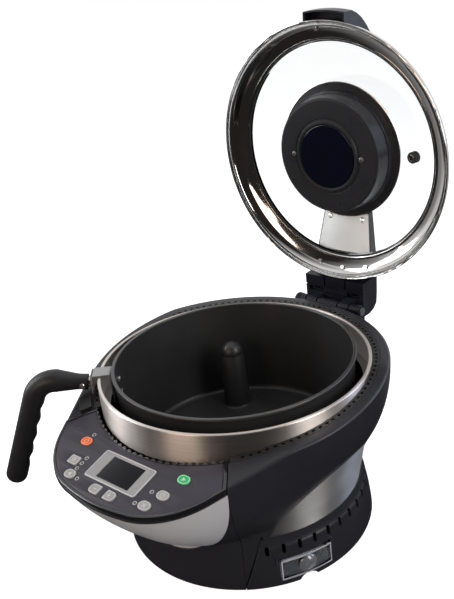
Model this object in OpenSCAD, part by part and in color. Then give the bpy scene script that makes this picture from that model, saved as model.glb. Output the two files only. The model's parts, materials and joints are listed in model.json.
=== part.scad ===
// Countertop multicooker with a hinged glass lid and a lift-out pot with a side handle.
// Millimetres. The origin is on the pot's axis at table level, Z is up, -Y is the control panel.
// The part is drawn as in the photo: lid open at ninety degrees, pot seated, drawer pushed in.

/* [Base] */
// How many vent slots a full turn of the foot would hold
slot_count = 48; // [24:12:48]
// Width of each vent slot
slot_w = 4; // [2:0.5:5]
// Width of the clear drip drawer
drawer_w = 54; // [44:1:56]
// Radius of each rubber foot
foot_r = 10; // [7:0.5:12]
// Depth of the vent notches round the steel ring
notch_d = 2.6; // [1.5:0.1:3]

/* [Controls] */
// How far the keys stand out of the film
key_rise = 1; // [0.6:0.1:1.6]
// Length of the oval keys
key_len = 13; // [11:0.5:14]
// Width of the display frame
frame_w = 64; // [58:1:68]

/* [Pot] */
// Length of the grip below the bend
grip_len = 105; // [90:1:110]
// Radius of the grip
grip_r = 11.5; // [10:0.5:12]
// Height of the hollow post's straight part above the pot's floor
post_h = 62; // [50:1:64]
// Radius of the sensor probe inside the post
probe_r = 6; // [4:0.5:7]

/* [Lid] */
// Radius of the round hub under the glass
hub_r = 61; // [54:1:62]
// Radius of the cap on the hub
cap_r = 34; // [26:1:36]
// Radius of the steam vent's flange
vent_r = 6; // [5.5:0.5:8]
// Half the width of the lid's grip
grip_half = 24.5; // [21:0.5:27]

/* [Hidden] */
$fn = 96;
hinge_y = 166.5;
hinge_z = 167.5;
lid_z = 180;
lid_y = 0.3;
ring_r = 135;
grip_x = 4.5;
slot_turn = 2.5;
top_screw = -5;
rim_at = [top_screw, 164.5, 178, 191.5];
tilt = atan(0.25);
handle_a = -139;
drawer_a = -25.4;
post_x = -58;
post_y = 61;
black = [0.06, 0.06, 0.07];
steel = [0.75, 0.74, 0.72];
silver = [0.66, 0.67, 0.68];
keys_at = [
    ["key_power", -59.3, -147.7, "oval"],
    ["key_start", 61.3, -144.1, "oval"],
    ["key_menu", -53.2, -169.4, "square"],
    ["key_left", -44, -183, "oval"],
    ["key_minus", -7.2, -185.4, "left"],
    ["key_plus", 10.2, -185.4, "right"],
    ["key_timer", 55.6, -164.8, "oval"],
    ["key_cancel", 47.8, -179.8, "oval"]
];
leds_at = [[-58.7, -138.6], [-43.2, -162.8], [-43.2, -169.2], [-43.2, -175.4], [-33.6, -184.1],
    [43.2, -165.6], [37.4, -181]];

// shapes that several pieces share

// angle from the front direction, 0 at the panel and 180 at the hinge
function fold(a) = abs(((a + 990) % 360) - 180);
// angle from the left or right side, 0 at the side and 90 at the front or back
function side(a) = asin(abs(sin(a)));
// height of the deck and of the panel above a place
function deck(y) = y < -83 ? 182.25 + 0.25 * y : min(170.5 + 0.108 * y, 177);
// outline of the deck: a round body, straight flanks and a wide front
function outline_r(b) = let (dc = 23 * sin(b) + 116.8 * cos(b))
    b < 11.14 ? 199.04 :
    b < 31.95 ? dc + sqrt(dc * dc - 23 * 23 - 116.8 * 116.8 + 6400) :
    b < 63.9 ? 152 / cos(63.9 - b) : 152;
// the cone of the steel band
function cone_r(z) = 115 + 0.186 * (z - 35);
// lower edge of the black housing: arched windows left and right, legs front and back
function edge_z(a) = let (s = side(a))
    s < 43.5 ? max(52, 20 + sqrt(max(0, 7396 - pow(122 * sin(s), 2)))) :
    min(56, max(1.5, 4 * (102.9 - 127 * sin(s))));
// lower edge of the silver pod
function pod_z(a) = let (u = min(1, fold(a) / 37))
    150 - 113.3 * pow(1 - pow(u, 2.5), 0.4);
function leg_r(z) = 121.5 + 6.5 * pow(max(0, 62 - z) / 62, 1.5);
// outer face of housing, leg and pod
function wall_r(a, z) = let (
        b = fold(a), top = outline_r(b), zt = deck(top * sin(a)),
        w = b < 45 ? cos(2 * b) : 0,
        zk = max(62 - 20 * w, min(edge_z(a), 110)),
        rk = zk > 62 ? cone_r(zk) + 1.3 : leg_r(zk))
    z >= zt ? top :
    z >= zk ? rk + (top - rk) * (1 - pow((zt - z) / (zt - zk), 2.1 - 0.65 * w)) : leg_r(z);
function inner_r(a, z, t) = z > 120 || z < 44 ? wall_r(a, z) - t : max(wall_r(a, z) - t, cone_r(z) + 0.5);
function steps(first, last, n) = [for (i = [0:n - 1]) first + (last - first) * i / n];
function place(a, p) = [p[0] * cos(a), p[0] * sin(a), p[1]];
function sum2(p, q, f) = [p[0] + (q[0] - p[0]) * f, p[1] + (q[1] - p[1]) * f];
function at_deck(a, r, d) = [r, deck(r * sin(a)) - d];

// one slice of the housing, beside the panel and under it
function slice_body(a) = let (top = outline_r(fold(a)), zt = deck(top * sin(a)), zb = edge_z(a))
    concat(
        [for (f = [0, 0.25, 0.5, 0.75]) at_deck(a, 142.4 + (top - 4 - 142.4) * f, 0)],
        [at_deck(a, top - 3, 0), at_deck(a, top - 0.9, 0.1), [top, zt - 1.4]],
        [for (i = [1:13]) let (z = zt - 1.4 - (zt - 1.4 - zb) * i / 13) [wall_r(a, z), z]],
        [for (i = [0:9]) let (z = zb + (zt - 4 - zb) * i / 9) [inner_r(a, z, 3.5), z]],
        [at_deck(a, 142.4, 4)]);
function slice_tray(a) = let (top = outline_r(fold(a)), zt = deck(top * sin(a)), under = at_deck(a, 138, 24.5))
    concat(
        [at_deck(a, 138, 4.7), at_deck(a, 141, 4.7), at_deck(a, 141.5, 20), at_deck(a, top - 19, 14)],
        [at_deck(a, top - 9.5, 6.3), at_deck(a, top - 4, 4.7), [top, zt - 4.7]],
        [[top - 0.2, zt - 6], [top - 0.5, zt - 7.9], at_deck(a, top - 10, 9.4), at_deck(a, top - 18, 17.5)],
        [for (i = [1:9]) sum2(at_deck(a, top - 18, 17.5), under, i / 9)],
        [for (i = [0:9]) at_deck(a, 138, 24.3 - 17.6 * i / 9)],
        [at_deck(a, 138, 5.6)]);
// a closed strip of slices, whole turn or with end caps
module loft(slices, closed) {
    n = len(slices[0]);
    m = len(slices);
    last = closed ? m - 1 : m - 2;
    sides = [for (k = [0:last], i = [0:n - 1], h = [0, 1])
        let (a = k * n + i, b = k * n + (i + 1) % n, c = ((k + 1) % m) * n + i, d = ((k + 1) % m) * n + (i + 1) % n)
        h == 0 ? [a, b, c] : [b, d, c]];
    end = (m - 1) * n;
    rungs = [for (i = [0:n / 2 - 2], h = [0, 1]) h == 0 ? [i, i + 1, n - 2 - i] : [i, n - 2 - i, n - 1 - i]];
    caps = closed ? [] : concat([for (r = rungs) [r[2], r[1], r[0]]], [for (r = rungs) [for (v = r) end + v]]);
    polyhedron(points = [for (s = slices) each s], faces = concat(sides, caps), convexity = 12);
}
// angles of the shells under the panel, closer together where the pod's edge turns up
strip_angles = [for (k = [0:28]) 270 + 36.7 * sin(90 * (k / 14 - 1))];
module strip(high, low, t) {
    loft([for (k = [0:28]) let (a = strip_angles[k], z1 = high[k], z0 = low[k])
        [for (p = concat(
            [for (i = [0:11]) let (z = z1 - (z1 - z0) * i / 11) [wall_r(a, z), z]],
            [for (i = [11:-1:0]) let (z = z1 - (z1 - z0) * i / 11) [inner_r(a, z, t), z]])) place(a, p)]], false);
}
// a slab that follows the deck and the panel, between two depths
module roof(d0, d1) {
    rotate([90, 0, 90])
        linear_extrude(420, center = true)
            polygon([[-210, deck(-210) - d1], [-83, deck(-83) - d1], [60.2, 177 - d1], [170, 177 - d1],
                [170, 177 - d0], [60.2, 177 - d0], [-83, deck(-83) - d0], [-210, deck(-210) - d0]]);
}
// plan outline of the deck's front, set in by d
module outline(d) {
    polygon(concat([[0, 0]], [for (k = [-60:2:60]) (outline_r(abs(k)) - d) * [sin(k), -cos(k)]]));
}
module front_wedge(half) {
    polygon([[0, 0], [320 * sin(half), -320 * cos(half)], [-320 * sin(half), -320 * cos(half)]]);
}
module on_panel(x, y) {
    translate([x, y, 182.25 + 0.25 * y]) rotate([tilt, 0, 0]) children();
}
module stadium(len, wid) {
    square([len - wid, wid], center = true);
    for (s = [-1, 1]) {
        translate([s * (len - wid) / 2, 0]) circle(d = wid, $fn = 48);
    }
}
module key_shape(kind, g) {
    if (kind == "oval") stadium(key_len + 2 * g, 9.6 + 2 * g);
    if (kind == "square") square([12 + 2 * g, 9.6 + 2 * g], center = true);
    if (kind == "left") translate([-g, 0]) intersection() {
        stadium(14 + 2 * g, 10 + 2 * g);
        translate([-20 + 5 + 2 * g, -10]) square([20, 20]);
    }
    if (kind == "right") translate([g, 0]) intersection() {
        stadium(14 + 2 * g, 10 + 2 * g);
        translate([-5 - 2 * g, -10]) square([20, 20]);
    }
}
module panel_cuts() {
    for (k = keys_at) {
        on_panel(k[1], k[2]) translate([0, 0, -8]) linear_extrude(16) key_shape(k[3], 0.4);
    }
    for (p = leds_at) {
        on_panel(p[0], p[1]) translate([0, 0, -8]) cylinder(r = 1.5, h = 16, $fn = 32);
    }
}
module key(i) {
    k = keys_at[i];
    on_panel(k[1], k[2]) {
        translate([0, 0, -3.6]) linear_extrude(3.6 + key_rise) key_shape(k[3], 0);
    }
}
module at_handle() {
    rotate(handle_a) children();
}
// the lid is drawn closed and turned open about the hinge
module lid_open() {
    translate([0, hinge_y, hinge_z]) rotate([-90, 0, 0]) translate([0, -hinge_y, -hinge_z]) children();
}
module on_lid() {
    lid_open() translate([0, lid_y, lid_z]) children();
}
function dome_z(r) = 35 - r * r / 756;
module side_shape(pts, half) {
    rotate([90, 0, 90]) linear_extrude(2 * half, center = true) polygon(pts);
}
module rim_place() {
    translate([0, -129.5, 12]) rotate([33.7, 0, 0]) children();
}

// base

module feet() {
    color([0.1, 0.1, 0.1]) for (a = [45:90:315]) {
        rotate(a) translate([104, 0, 0]) cylinder(r = foot_r, h = 4);
    }
    color([0.1, 0.1, 0.1]) cylinder(r = foot_r, h = 4);
}
module bottom_plate() {
    color(black) difference() {
        translate([0, 0, 4]) cylinder(r = 118, h = 2);
        for (a = [0:90:270]) {
            rotate(a) translate([90, 0, 3]) cylinder(r = 2.1, h = 4, $fn = 32);
        }
        for (a = [0:30:330]) {
            rotate(a) translate([50, 0, 4.5]) cube([26, 4, 4], center = true);
        }
    }
}
module base_screws() {
    color(steel) for (a = [0:90:270]) {
        rotate(a) translate([90, 0, 0]) {
            translate([0, 0, 2]) cylinder(r = 4, h = 2, $fn = 48);
            translate([0, 0, 4]) cylinder(r = 2, h = 5, $fn = 32);
        }
    }
}
// place of a leg's edge along the foot, from the middle of the edge's slope, at radius 123
leg_mid = 49.5;
function leg_side(z) = 123 * sin(min(52.8, asin((102.9 - z / 4) / 127)) - leg_mid) - 0.75;
// the room for the legs in the foot band, each edge cut along its own radius
module leg_gaps() {
    for (m = [0, 180], s = [0, 1]) {
        rotate(m) mirror([s, 0, 0]) rotate(leg_mid) translate([80, 0, 0]) rotate([90, 0, 90])
            linear_extrude(60) polygon(concat([for (z = [-2:8:54]) [leg_side(z), z]], [[90, 54], [90, -2]]));
    }
}
module base_skirt() {
    color(black) difference() {
        union() {
            difference() {
                rotate_extrude($fn = 180) polygon([[110, 6.3], [124, 6.3], [124.2, 1.5], [128, 1.5], [127.6, 9],
                    [126.4, 24], [125.6, 38.5], [124.6, 41.4], [122.4, 44.3], [119.7, 51.7], [118.5, 51.7],
                    [121.6, 38], [123.2, 24], [124.3, 9.3], [110, 9.3]]);
                leg_gaps();
            }
            translate([0, 0, 6.3]) difference() {
                cylinder(r = 119.5, h = 3);
                translate([0, 0, -1]) cylinder(r = 84, h = 5);
            }
        }
        for (m = [0, 180], k = [-floor(38 * slot_count / 360) - 1:floor(38 * slot_count / 360)]) {
            rotate(m + slot_turn + k * 360 / slot_count) translate([124, 0, 38.8])
                cube([14, slot_w, 9.4], center = true);
        }
        for (a = [0:90:270]) {
            rotate(a) translate([90, 0, 5]) cylinder(r = 2.03, h = 6, $fn = 32);
        }
        rotate(drawer_a) {
            translate([93, -drawer_w / 2 - 0.8, 5]) cube([40, drawer_w + 1.6, 24.8]);
            translate([132, 0, 1]) rotate([0, -90, 0]) cylinder(r = 9.5, h = 14, $fn = 60);
        }
    }
}
module drip_drawer() {
    color([0.85, 0.88, 0.9]) rotate(drawer_a) difference() {
        intersection() {
            translate([95, -drawer_w / 2, 6.6]) cube([40, drawer_w, 22.4]);
            rotate(-drawer_a) cylinder(r = 127.8, h = 40, $fn = 180);
        }
        difference() {
            translate([96.8, -drawer_w / 2 + 1.8, 8.4]) cube([40, drawer_w - 3.6, 30]);
            difference() {
                cylinder(r = 140, h = 50);
                translate([0, 0, -1]) cylinder(r = 124.8, h = 60, $fn = 180);
            }
        }
    }
}
module steel_band() {
    color(steel) rotate_extrude($fn = 180) polygon([[cone_r(46) - 0.8, 46], [cone_r(46), 46],
        [cone_r(118), 118], [cone_r(118) - 0.8, 118]]);
}
module housing() {
    around = concat(steps(307.1, 317, 6), steps(317, 403, 16), steps(403, 415, 7), steps(415, 485, 13),
        steps(485, 497, 7), steps(497, 583, 16), steps(583, 592.9, 6), [592.9]);
    front = [for (j = [0:15]) 593.1 + 73.8 * j / 15];
    color(black) loft(concat(
        [for (a = around) [for (p = slice_body(a)) place(a, p)]],
        [for (a = front) [for (p = slice_tray(a)) place(a, p)]]), true);
}
module front_leg() {
    color(black) strip([for (a = strip_angles) pod_z(a) - 0.3], [for (a = strip_angles) 1.5], 2.5);
}
module pod() {
    color(silver) strip([for (a = strip_angles) deck(outline_r(fold(a)) * sin(a)) - 9.2],
        [for (a = strip_angles) pod_z(a) + 0.3], 2.5);
}
module vent_ring() {
    color(black) intersection() {
        roof(0, 2);
        linear_extrude(220) difference() {
            circle(r = 142, $fn = 180);
            circle(r = ring_r + 0.5, $fn = 180);
            front_wedge(37.6);
            for (a = [-48:3:228]) {
                rotate(a) translate([138.6, 0]) square([notch_d, 3], center = true);
            }
        }
    }
}
module handle_saddle() {
    color(black) intersection() {
        roof(-3.2, -0.2);
        linear_extrude(220) difference() {
            intersection() {
                circle(r = 156, $fn = 180);
                polygon([[0, 0], [-320 * sin(37.6), -320 * cos(37.6)], [-320 * sin(43.5), -320 * cos(43.5)]]);
            }
            circle(r = 144, $fn = 180);
        }
    }
}
module panel_bezel() {
    color(black) difference() {
        intersection() {
            roof(-0.4, 4.4);
            linear_extrude(220) difference() {
                intersection() {
                    outline(0.3);
                    front_wedge(36.7);
                }
                circle(r = 138.2, $fn = 180);
            }
        }
        intersection() {
            roof(-3, 1.5);
            linear_extrude(220) difference() {
                intersection() {
                    outline(3.1);
                    front_wedge(35.6);
                }
                circle(r = 140.6, $fn = 180);
            }
        }
        panel_cuts();
    }
}
module panel_film() {
    color([0.2, 0.2, 0.22]) difference() {
        intersection() {
            roof(0, 1.4);
            linear_extrude(220) difference() {
                intersection() {
                    outline(3.4);
                    front_wedge(35.5);
                }
                circle(r = 140.9, $fn = 180);
            }
        }
        panel_cuts();
    }
}
module display_frame() {
    color(silver) on_panel(1, -162.5) translate([0, 0, 0.05]) linear_extrude(0.9) difference() {
        union() {
            square([frame_w - 6, 32.5], center = true);
            square([frame_w, 26.5], center = true);
            for (sx = [-1, 1], sy = [-1, 1]) {
                translate([sx * (frame_w / 2 - 3), sy * 13.25]) circle(r = 3, $fn = 32);
            }
        }
        translate([1, 0]) square([40, 25], center = true);
    }
}
module display_window() {
    color([0.08, 0.09, 0.1]) on_panel(2, -162.5) translate([-19.8, -12.3, 0.05]) cube([39.6, 24.6, 0.6]);
}
module control_board() {
    color([0.1, 0.35, 0.2]) on_panel(0, -156) translate([-42, -12, -9.8]) cube([84, 24, 1.6]);
}
module indicator_leds() {
    color([0.8, 0.75, 0.6]) for (p = leds_at) {
        on_panel(p[0], p[1]) translate([0, 0, -1.4]) cylinder(r = 1.3, h = 1.8, $fn = 32);
    }
}
module key_power() { color([0.95, 0.35, 0.1]) key(0); }
module key_start() { color([0.1, 0.6, 0.25]) key(1); }
module key_menu() { color(silver) key(2); }
module key_left() { color(silver) key(3); }
module key_minus() { color(silver) key(4); }
module key_plus() { color(silver) key(5); }
module key_timer() { color(silver) key(6); }
module key_cancel() { color(silver) key(7); }
module handle_ring_shape(pts) {
    rotate_extrude($fn = 180) polygon(pts);
}
module steel_ring() {
    color(steel) handle_ring_shape([[ring_r - 1.4, 146], [ring_r, 146], [ring_r, 176.3],
        [ring_r - 0.8, 177.25], [ring_r - 2.6, 177.25], [ring_r - 3.4, 176.4], [ring_r - 3.4, 175.2],
        [ring_r - 1.4, 175.2]]);
}
module chamber() {
    color([0.6, 0.6, 0.6]) difference() {
        handle_ring_shape([[22, 60], [113, 60], [118.2, 78], [120.2, 100], [127.2, 132], [127.2, 149], [ring_r - 1.5, 149],
            [ring_r - 1.5, 150.2], [126, 150.2], [126, 132.6], [119, 100.4], [117, 78.5], [112.2, 61.2], [22, 61.2]]);
        translate([post_x, post_y, 50]) cylinder(r = 7.6, h = 20, $fn = 48);
    }
}
module heater_plate() {
    color([0.55, 0.55, 0.57]) difference() {
        translate([0, 0, 61.4]) cylinder(r = 97, h = 15.7);
        translate([0, 0, 50]) cylinder(r = 18, h = 40);
        translate([post_x, post_y, 50]) cylinder(r = 9, h = 40, $fn = 48);
        translate([0, 0, 60]) difference() {
            cylinder(r = 82, h = 10);
            cylinder(r = 40, h = 10);
        }
    }
}
module thermostat() {
    color(steel) {
        translate([0, 0, 70]) cylinder(r = 16, h = 7.2);
        translate([0, 0, 50]) cylinder(r = 5, h = 20, $fn = 48);
    }
}
module thermostat_spring() {
    color(steel) handle_ring_shape([[7, 60.1], [9, 60.1], [9, 67.5], [7, 67.5]]);
}
module thermostat_seat() {
    color([0.5, 0.5, 0.52]) handle_ring_shape([[5.06, 56.5], [30, 56.5], [30, 59.8], [5.06, 59.8]]);
}
module sensor_probe() {
    color(steel) translate([post_x, post_y, 0]) {
        translate([0, 0, 50]) cylinder(r = probe_r, h = 28 + post_h, $fn = 48);
        translate([0, 0, 56.5]) cylinder(r = 11, h = 3.3, $fn = 48);
    }
}
module power_board() {
    color([0.1, 0.35, 0.2]) {
        translate([-45, -40, 18]) cube([90, 80, 1.6]);
        translate([-30, -22, 19]) cube([28, 34, 22]);
        translate([22, 8, 19]) cylinder(r = 9, h = 22, $fn = 48);
        for (sx = [-1, 1], sy = [-1, 1]) {
            translate([sx * 38, sy * 34, 6.2]) cylinder(r = 4, h = 12.5, $fn = 48);
        }
    }
}
module mains_inlet() {
    color(black) difference() {
        translate([-17, 126.4, 14]) cube([34, 9, 26]);
        translate([-13, 129.4, 18]) cube([26, 9, 18]);
        for (s = [-1, 0, 1]) {
            translate([s * 7, 120, 28 + (s == 0 ? 3 : -2)]) rotate([-90, 0, 0]) cylinder(r = 1.55, h = 20, $fn = 32);
        }
    }
}
module inlet_pins() {
    color(steel) for (s = [-1, 0, 1]) {
        translate([s * 7, 126.6, 28 + (s == 0 ? 3 : -2)]) rotate([-90, 0, 0]) cylinder(r = 1.5, h = 8, $fn = 32);
    }
}
module hinge_bracket() {
    color(black) difference() {
        union() {
            translate([-42, 140, 138]) cube([84, 33, 21.5]);
            for (x = [[-42, 13], [-13, 26], [29, 13]]) {
                translate([x[0], hinge_y, hinge_z]) rotate([0, 90, 0]) cylinder(r = 6.5, h = x[1]);
                translate([x[0], hinge_y - 6.5, 150]) cube([x[1], 13, hinge_z - 150]);
            }
        }
        cylinder(r = 151.8, h = 220, $fn = 180);
        translate([-60, hinge_y, hinge_z]) rotate([0, 90, 0]) cylinder(r = 3.02, h = 120, $fn = 48);
        for (s = [-1, 1]) {
            translate([s * 30, 180, 146]) rotate([90, 0, 0]) cylinder(r = 2.03, h = 40, $fn = 32);
        }
    }
}
module hinge_pin() {
    color(steel) {
        translate([-42.4, hinge_y, hinge_z]) rotate([0, 90, 0]) cylinder(r = 3, h = 84.8, $fn = 48);
        for (x = [-44, 42.3]) {
            translate([x, hinge_y, hinge_z]) rotate([0, 90, 0]) cylinder(r = 4.6, h = 1.7, $fn = 48);
        }
    }
}
module bracket_screws() {
    color(steel) for (s = [-1, 1]) {
        translate([s * 30, 175, 146]) rotate([90, 0, 0]) {
            cylinder(r = 4, h = 1.9, $fn = 48);
            cylinder(r = 2, h = 20, $fn = 32);
        }
    }
}

// pot

module pot() {
    color([0.12, 0.12, 0.13]) difference() {
        union() {
            handle_ring_shape([[0, 77.4], [102, 77.4], [108, 79.2], [112.3, 83.5], [114.2, 89], [119, 180], [120.4, 181],
                [120.4, 183], [119.8, 183.6], [117.6, 183.6], [117.1, 183], [112.2, 91], [110.3, 86], [106.5, 81.8],
                [101, 80], [0, 80]]);
            translate([post_x, post_y, 79]) cylinder(r1 = 15, r2 = 11.6, h = post_h + 1.5);
            translate([post_x, post_y, 80.5 + post_h]) sphere(r = 11.5);
        }
        translate([post_x, post_y, 77]) cylinder(r1 = 12.5, r2 = 8.6, h = post_h + 8, $fn = 64);
        at_handle() for (z = [153, 167]) {
            translate([110, 0, z]) rotate([0, 90, 0]) cylinder(r = 2.05, h = 20, $fn = 32);
        }
    }
}
module pot_bracket() {
    color(steel) at_handle() difference() {
        union() {
            translate([121.3, -9, 147]) cube([1.2, 18, 31.8]);
            translate([121.3, -9, 177.6]) cube([20.2, 18, 1.2]);
            translate([140.3, -9, 162.6]) cube([1.2, 18, 16.2]);
        }
        for (z = [153, 167]) {
            translate([110, 0, z]) rotate([0, 90, 0]) cylinder(r = 2.05, h = 20, $fn = 32);
        }
    }
}
module pot_rivets() {
    color(steel) at_handle() for (p = [[153, 115.1], [167, 115.9]]) {
        translate([p[1] - 2, 0, p[0]]) rotate([0, 90, 0]) cylinder(r = 4, h = 2, $fn = 48);
        translate([p[1] - 1, 0, p[0]]) rotate([0, 90, 0]) cylinder(r = 2, h = 124.2 - p[1], $fn = 32);
        translate([122.6, 0, p[0]]) rotate([0, 90, 0]) cylinder(r = 3.4, h = 1.6, $fn = 48);
    }
}
// stations along the grip: distance out, height, direction, radius and depth of the finger scallops
function grip_stations() = concat(
    [for (t = [0, 0.25, 0.5, 0.75]) [143 + 34 * t, 168.15 + 5.35 * t, 8.93, 7.2 + (grip_r - 7.2) * t, 0]],
    [for (k = [0:7]) let (f = 98.93 - 76.93 * k / 7) [180.7 + 24 * cos(f), 149.8 + 24 * sin(f), f - 90, grip_r, 0]],
    [for (q = [5:5:grip_len - 15]) [202.95 + 0.3746 * q, 158.79 - 0.9272 * q, -68, grip_r + 0.5,
        q > 84 ? 0 : 0.8 - 0.8 * cos(18 * (q - 4))]],
    [for (e = [[9, 0.97], [4.5, 0.82], [1.5, 0.58], [0, 0.3]]) let (q = grip_len - e[0])
        [202.95 + 0.3746 * q, 158.79 - 0.9272 * q, -68, (grip_r + 0.5) * e[1], 0]]);
module pot_grip() {
    color(black) at_handle() loft([for (g = grip_stations()) [for (i = [0:19]) let (
            p = 18 * i, r = g[3] - g[4] * max(0, -cos(p)))
        [g[0] - r * cos(p) * sin(g[2]), -r * sin(p), g[1] + r * cos(p) * cos(g[2])]]], false);
}
module grip_screw() {
    color(steel) at_handle() translate([151, 0, 169.5]) rotate([-90, 0, 0]) {
        translate([0, 0, 8.75]) cylinder(r = 3, h = 1.3, $fn = 48);
        translate([0, 0, 9.6]) cylinder(r1 = 3, r2 = 2, h = 1, $fn = 48);
    }
}

// lid

module lid_rim() {
    color(steel) on_lid() difference() {
        handle_ring_shape([[136.9, 0], [138.4, 0], [137.5, 5.8], [133.5, 11.3], [127, 15.6], [117, 18.5],
            [117, 17], [126.5, 14], [132.5, 10], [136, 5]]);
        for (a = rim_at) {
            rotate(a) rim_place() translate([0, 0, -5]) cylinder(r = 1.36, h = 12, $fn = 32);
        }
    }
}
module lid_glass() {
    rs = [for (i = [0:10]) 9.4 + (115.5 - 9.4) * i / 10];
    color([0.8, 0.88, 0.88, 0.5]) on_lid() difference() {
        handle_ring_shape(concat([for (r = rs) [r, dome_z(r)]],
            [for (i = [10:-1:0]) [rs[i], dome_z(rs[i]) + 4]]));
        translate([88, 0, 24.76]) rotate([0, 13.1, 0]) translate([0, 0, -8]) cylinder(r = 4.4, h = 20, $fn = 48);
    }
}
module lid_gasket() {
    color([0.1, 0.1, 0.1]) on_lid() handle_ring_shape([[115.7, 16.4], [116.8, 16.4], [116.8, 22], [115.7, 22]]);
}
module hub() {
    color(black) on_lid() difference() {
        handle_ring_shape([[4.05, 2.3], [cap_r + 0.3, 2.3], [cap_r + 0.3, 1], [hub_r - 3, 1], [hub_r, 4],
            [hub_r + 4, 25.2], [73, 25.6], [73, 27.6], [hub_r + 3, 27.6], [hub_r + 0.5, 24], [hub_r - 3.5, 5.5],
            [9, 5.5], [8.8, 39.9], [4.05, 39.9]]);
        for (s = [-1, 1]) {
            translate([s * 42, 0, 0]) cylinder(r = 1.55, h = 10, $fn = 32);
        }
    }
}
module hub_cap() {
    color([0.05, 0.06, 0.12]) on_lid() translate([0, 0, -0.3]) cylinder(r = cap_r, h = 2.5);
}
module hub_screws() {
    color(steel) on_lid() for (s = [-1, 1]) {
        translate([s * 42, 0, -0.4]) cylinder(r = 3, h = 1.3, $fn = 48);
        translate([s * 42, 0, 0]) cylinder(r = 1.5, h = 9, $fn = 32);
    }
}
module hub_stud() {
    color(steel) on_lid() translate([0, 0, 2.5]) cylinder(r = 4, h = 42.5, $fn = 48);
}
module steam_vent() {
    color(black) on_lid() translate([88, 0, 24.76]) rotate([0, 13.1, 0]) difference() {
        union() {
            translate([0, 0, -2.4]) cylinder(r = vent_r, h = 1.9, $fn = 64);
            translate([0, 0, -1]) cylinder(r = 4.2, h = 6, $fn = 48);
            translate([0, 0, 4.5]) cylinder(r = 6, h = 2, $fn = 64);
        }
        translate([0, 0, -5]) cylinder(r = 2, h = 16, $fn = 32);
    }
}
module lid_arm() {
    color(black) lid_open() difference() {
        union() {
            intersection() {
                side_shape([[178.8, 178.8], [179, 191.5], [176.4, 200], [171.3, 205.8], [160, 207.5], [142.7, 208.5],
                    [116, 215], [66, 221.5], [40, 224.5], [-20, 226.4], [-34, 226.4], [-34, 221.6], [0, 220.8],
                    [66, 216], [116, 204.4], [139.5, 200.6], [139.5, 178.8]], 60);
                linear_extrude(300) polygon([[24, -34], [28, 60], [36, 120], [38, 140], [38, 185], [-38, 185],
                    [-38, 140], [-36, 120], [-28, 60], [-24, -34]]);
            }
            for (x = [-27.5, 14.5]) {
                translate([x, hinge_y, hinge_z]) rotate([0, 90, 0]) cylinder(r = 6.5, h = 13);
                translate([x, hinge_y - 6.5, hinge_z]) cube([13, 13, 12]);
            }
        }
        translate([-60, hinge_y, hinge_z]) rotate([0, 90, 0]) cylinder(r = 3.06, h = 120, $fn = 48);
        translate([0, lid_y, 200]) cylinder(r = 4.05, h = 30, $fn = 48);
        for (s = [-1, 1]) {
            translate([s * 21, 78, 205]) cylinder(r = 1.55, h = 12, $fn = 32);
        }
    }
}
module arm_plate() {
    color(silver) lid_open() difference() {
        intersection() {
            side_shape([[71, 214.6], [115, 204.4], [115, 203.6], [71, 213.8]], 60);
            linear_extrude(300) polygon([[26.5, 60], [34.5, 120], [-34.5, 120], [-26.5, 60]]);
        }
        for (s = [-1, 1]) {
            translate([s * 21, 78, 200]) cylinder(r = 1.55, h = 20, $fn = 32);
        }
    }
}
module arm_screws() {
    color(steel) lid_open() for (s = [-1, 1]) {
        translate([s * 21, 78, 212.18]) rotate([-13.05, 0, 0]) translate([0, 0, -0.95])
            cylinder(r = 3.2, h = 0.93, $fn = 48);
        translate([s * 21, 78, 211.6]) cylinder(r = 1.5, h = 5, $fn = 32);
    }
}
// the part of a ring on the lid that lies between two places across the front
module ring_part(pts, x0, x1) {
    intersection() {
        handle_ring_shape(pts);
        translate([x0, -170, -20]) cube([x1 - x0, 80, 90]);
    }
}
module lid_grip() {
    color(black) on_lid() difference() {
        ring_part([[138.75, 2], [146.3, 2.4], [147.5, 3.6], [147.6, 17], [144, 25.5], [139, 33.5], [130.5, 42.5],
            [121.5, 50], [118.3, 50.6], [116.2, 48.5], [118.2, 41], [122.5, 32.5], [122.5, 25], [121, 20],
            [121, 17.75], [127.2, 16], [133.8, 11.75], [137.9, 6.1]], grip_x - grip_half, grip_x + grip_half);
        ring_part([[138, -4], [145.8, -4], [145.8, 12], [138, 12]],
            grip_x - grip_half + 2, grip_x + grip_half - 2);
        rotate(top_screw) rim_place() translate([0, 0, -2]) cylinder(r = 1.36, h = 18, $fn = 32);
    }
}
module rim_screws() {
    color(steel) on_lid() for (a = rim_at) {
        rotate(a) rim_place() {
            translate([0, 0, -1.7]) cylinder(r = 2.4, h = 1.4, $fn = 48);
            translate([0, 0, -1]) cylinder(r = 1.3, h = a < 90 ? 9 : 4, $fn = 32);
        }
    }
}

feet();
bottom_plate();
base_screws();
base_skirt();
drip_drawer();
steel_band();
housing();
front_leg();
pod();
vent_ring();
handle_saddle();
panel_bezel();
panel_film();
display_frame();
display_window();
control_board();
indicator_leds();
key_power();
key_start();
key_menu();
key_left();
key_minus();
key_plus();
key_timer();
key_cancel();
steel_ring();
chamber();
heater_plate();
thermostat();
thermostat_spring();
thermostat_seat();
sensor_probe();
power_board();
mains_inlet();
inlet_pins();
hinge_bracket();
hinge_pin();
bracket_screws();
pot();
pot_bracket();
pot_grip();
pot_rivets();
grip_screw();
lid_rim();
lid_glass();
lid_gasket();
hub();
hub_cap();
hub_screws();
hub_stud();
steam_vent();
lid_arm();
arm_plate();
arm_screws();
lid_grip();
rim_screws();
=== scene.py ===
# %% [markdown]
# # Dressing a multicooker
# The construction of this countertop cooker is already settled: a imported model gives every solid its
# place and its body. This lesson adds what the eye sees: soft edges, smooth shells, finishes, light and a
# camera. The frame is loaded first and never moved, so each new piece is simply drawn where the solids
# are, in metres.

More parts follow.
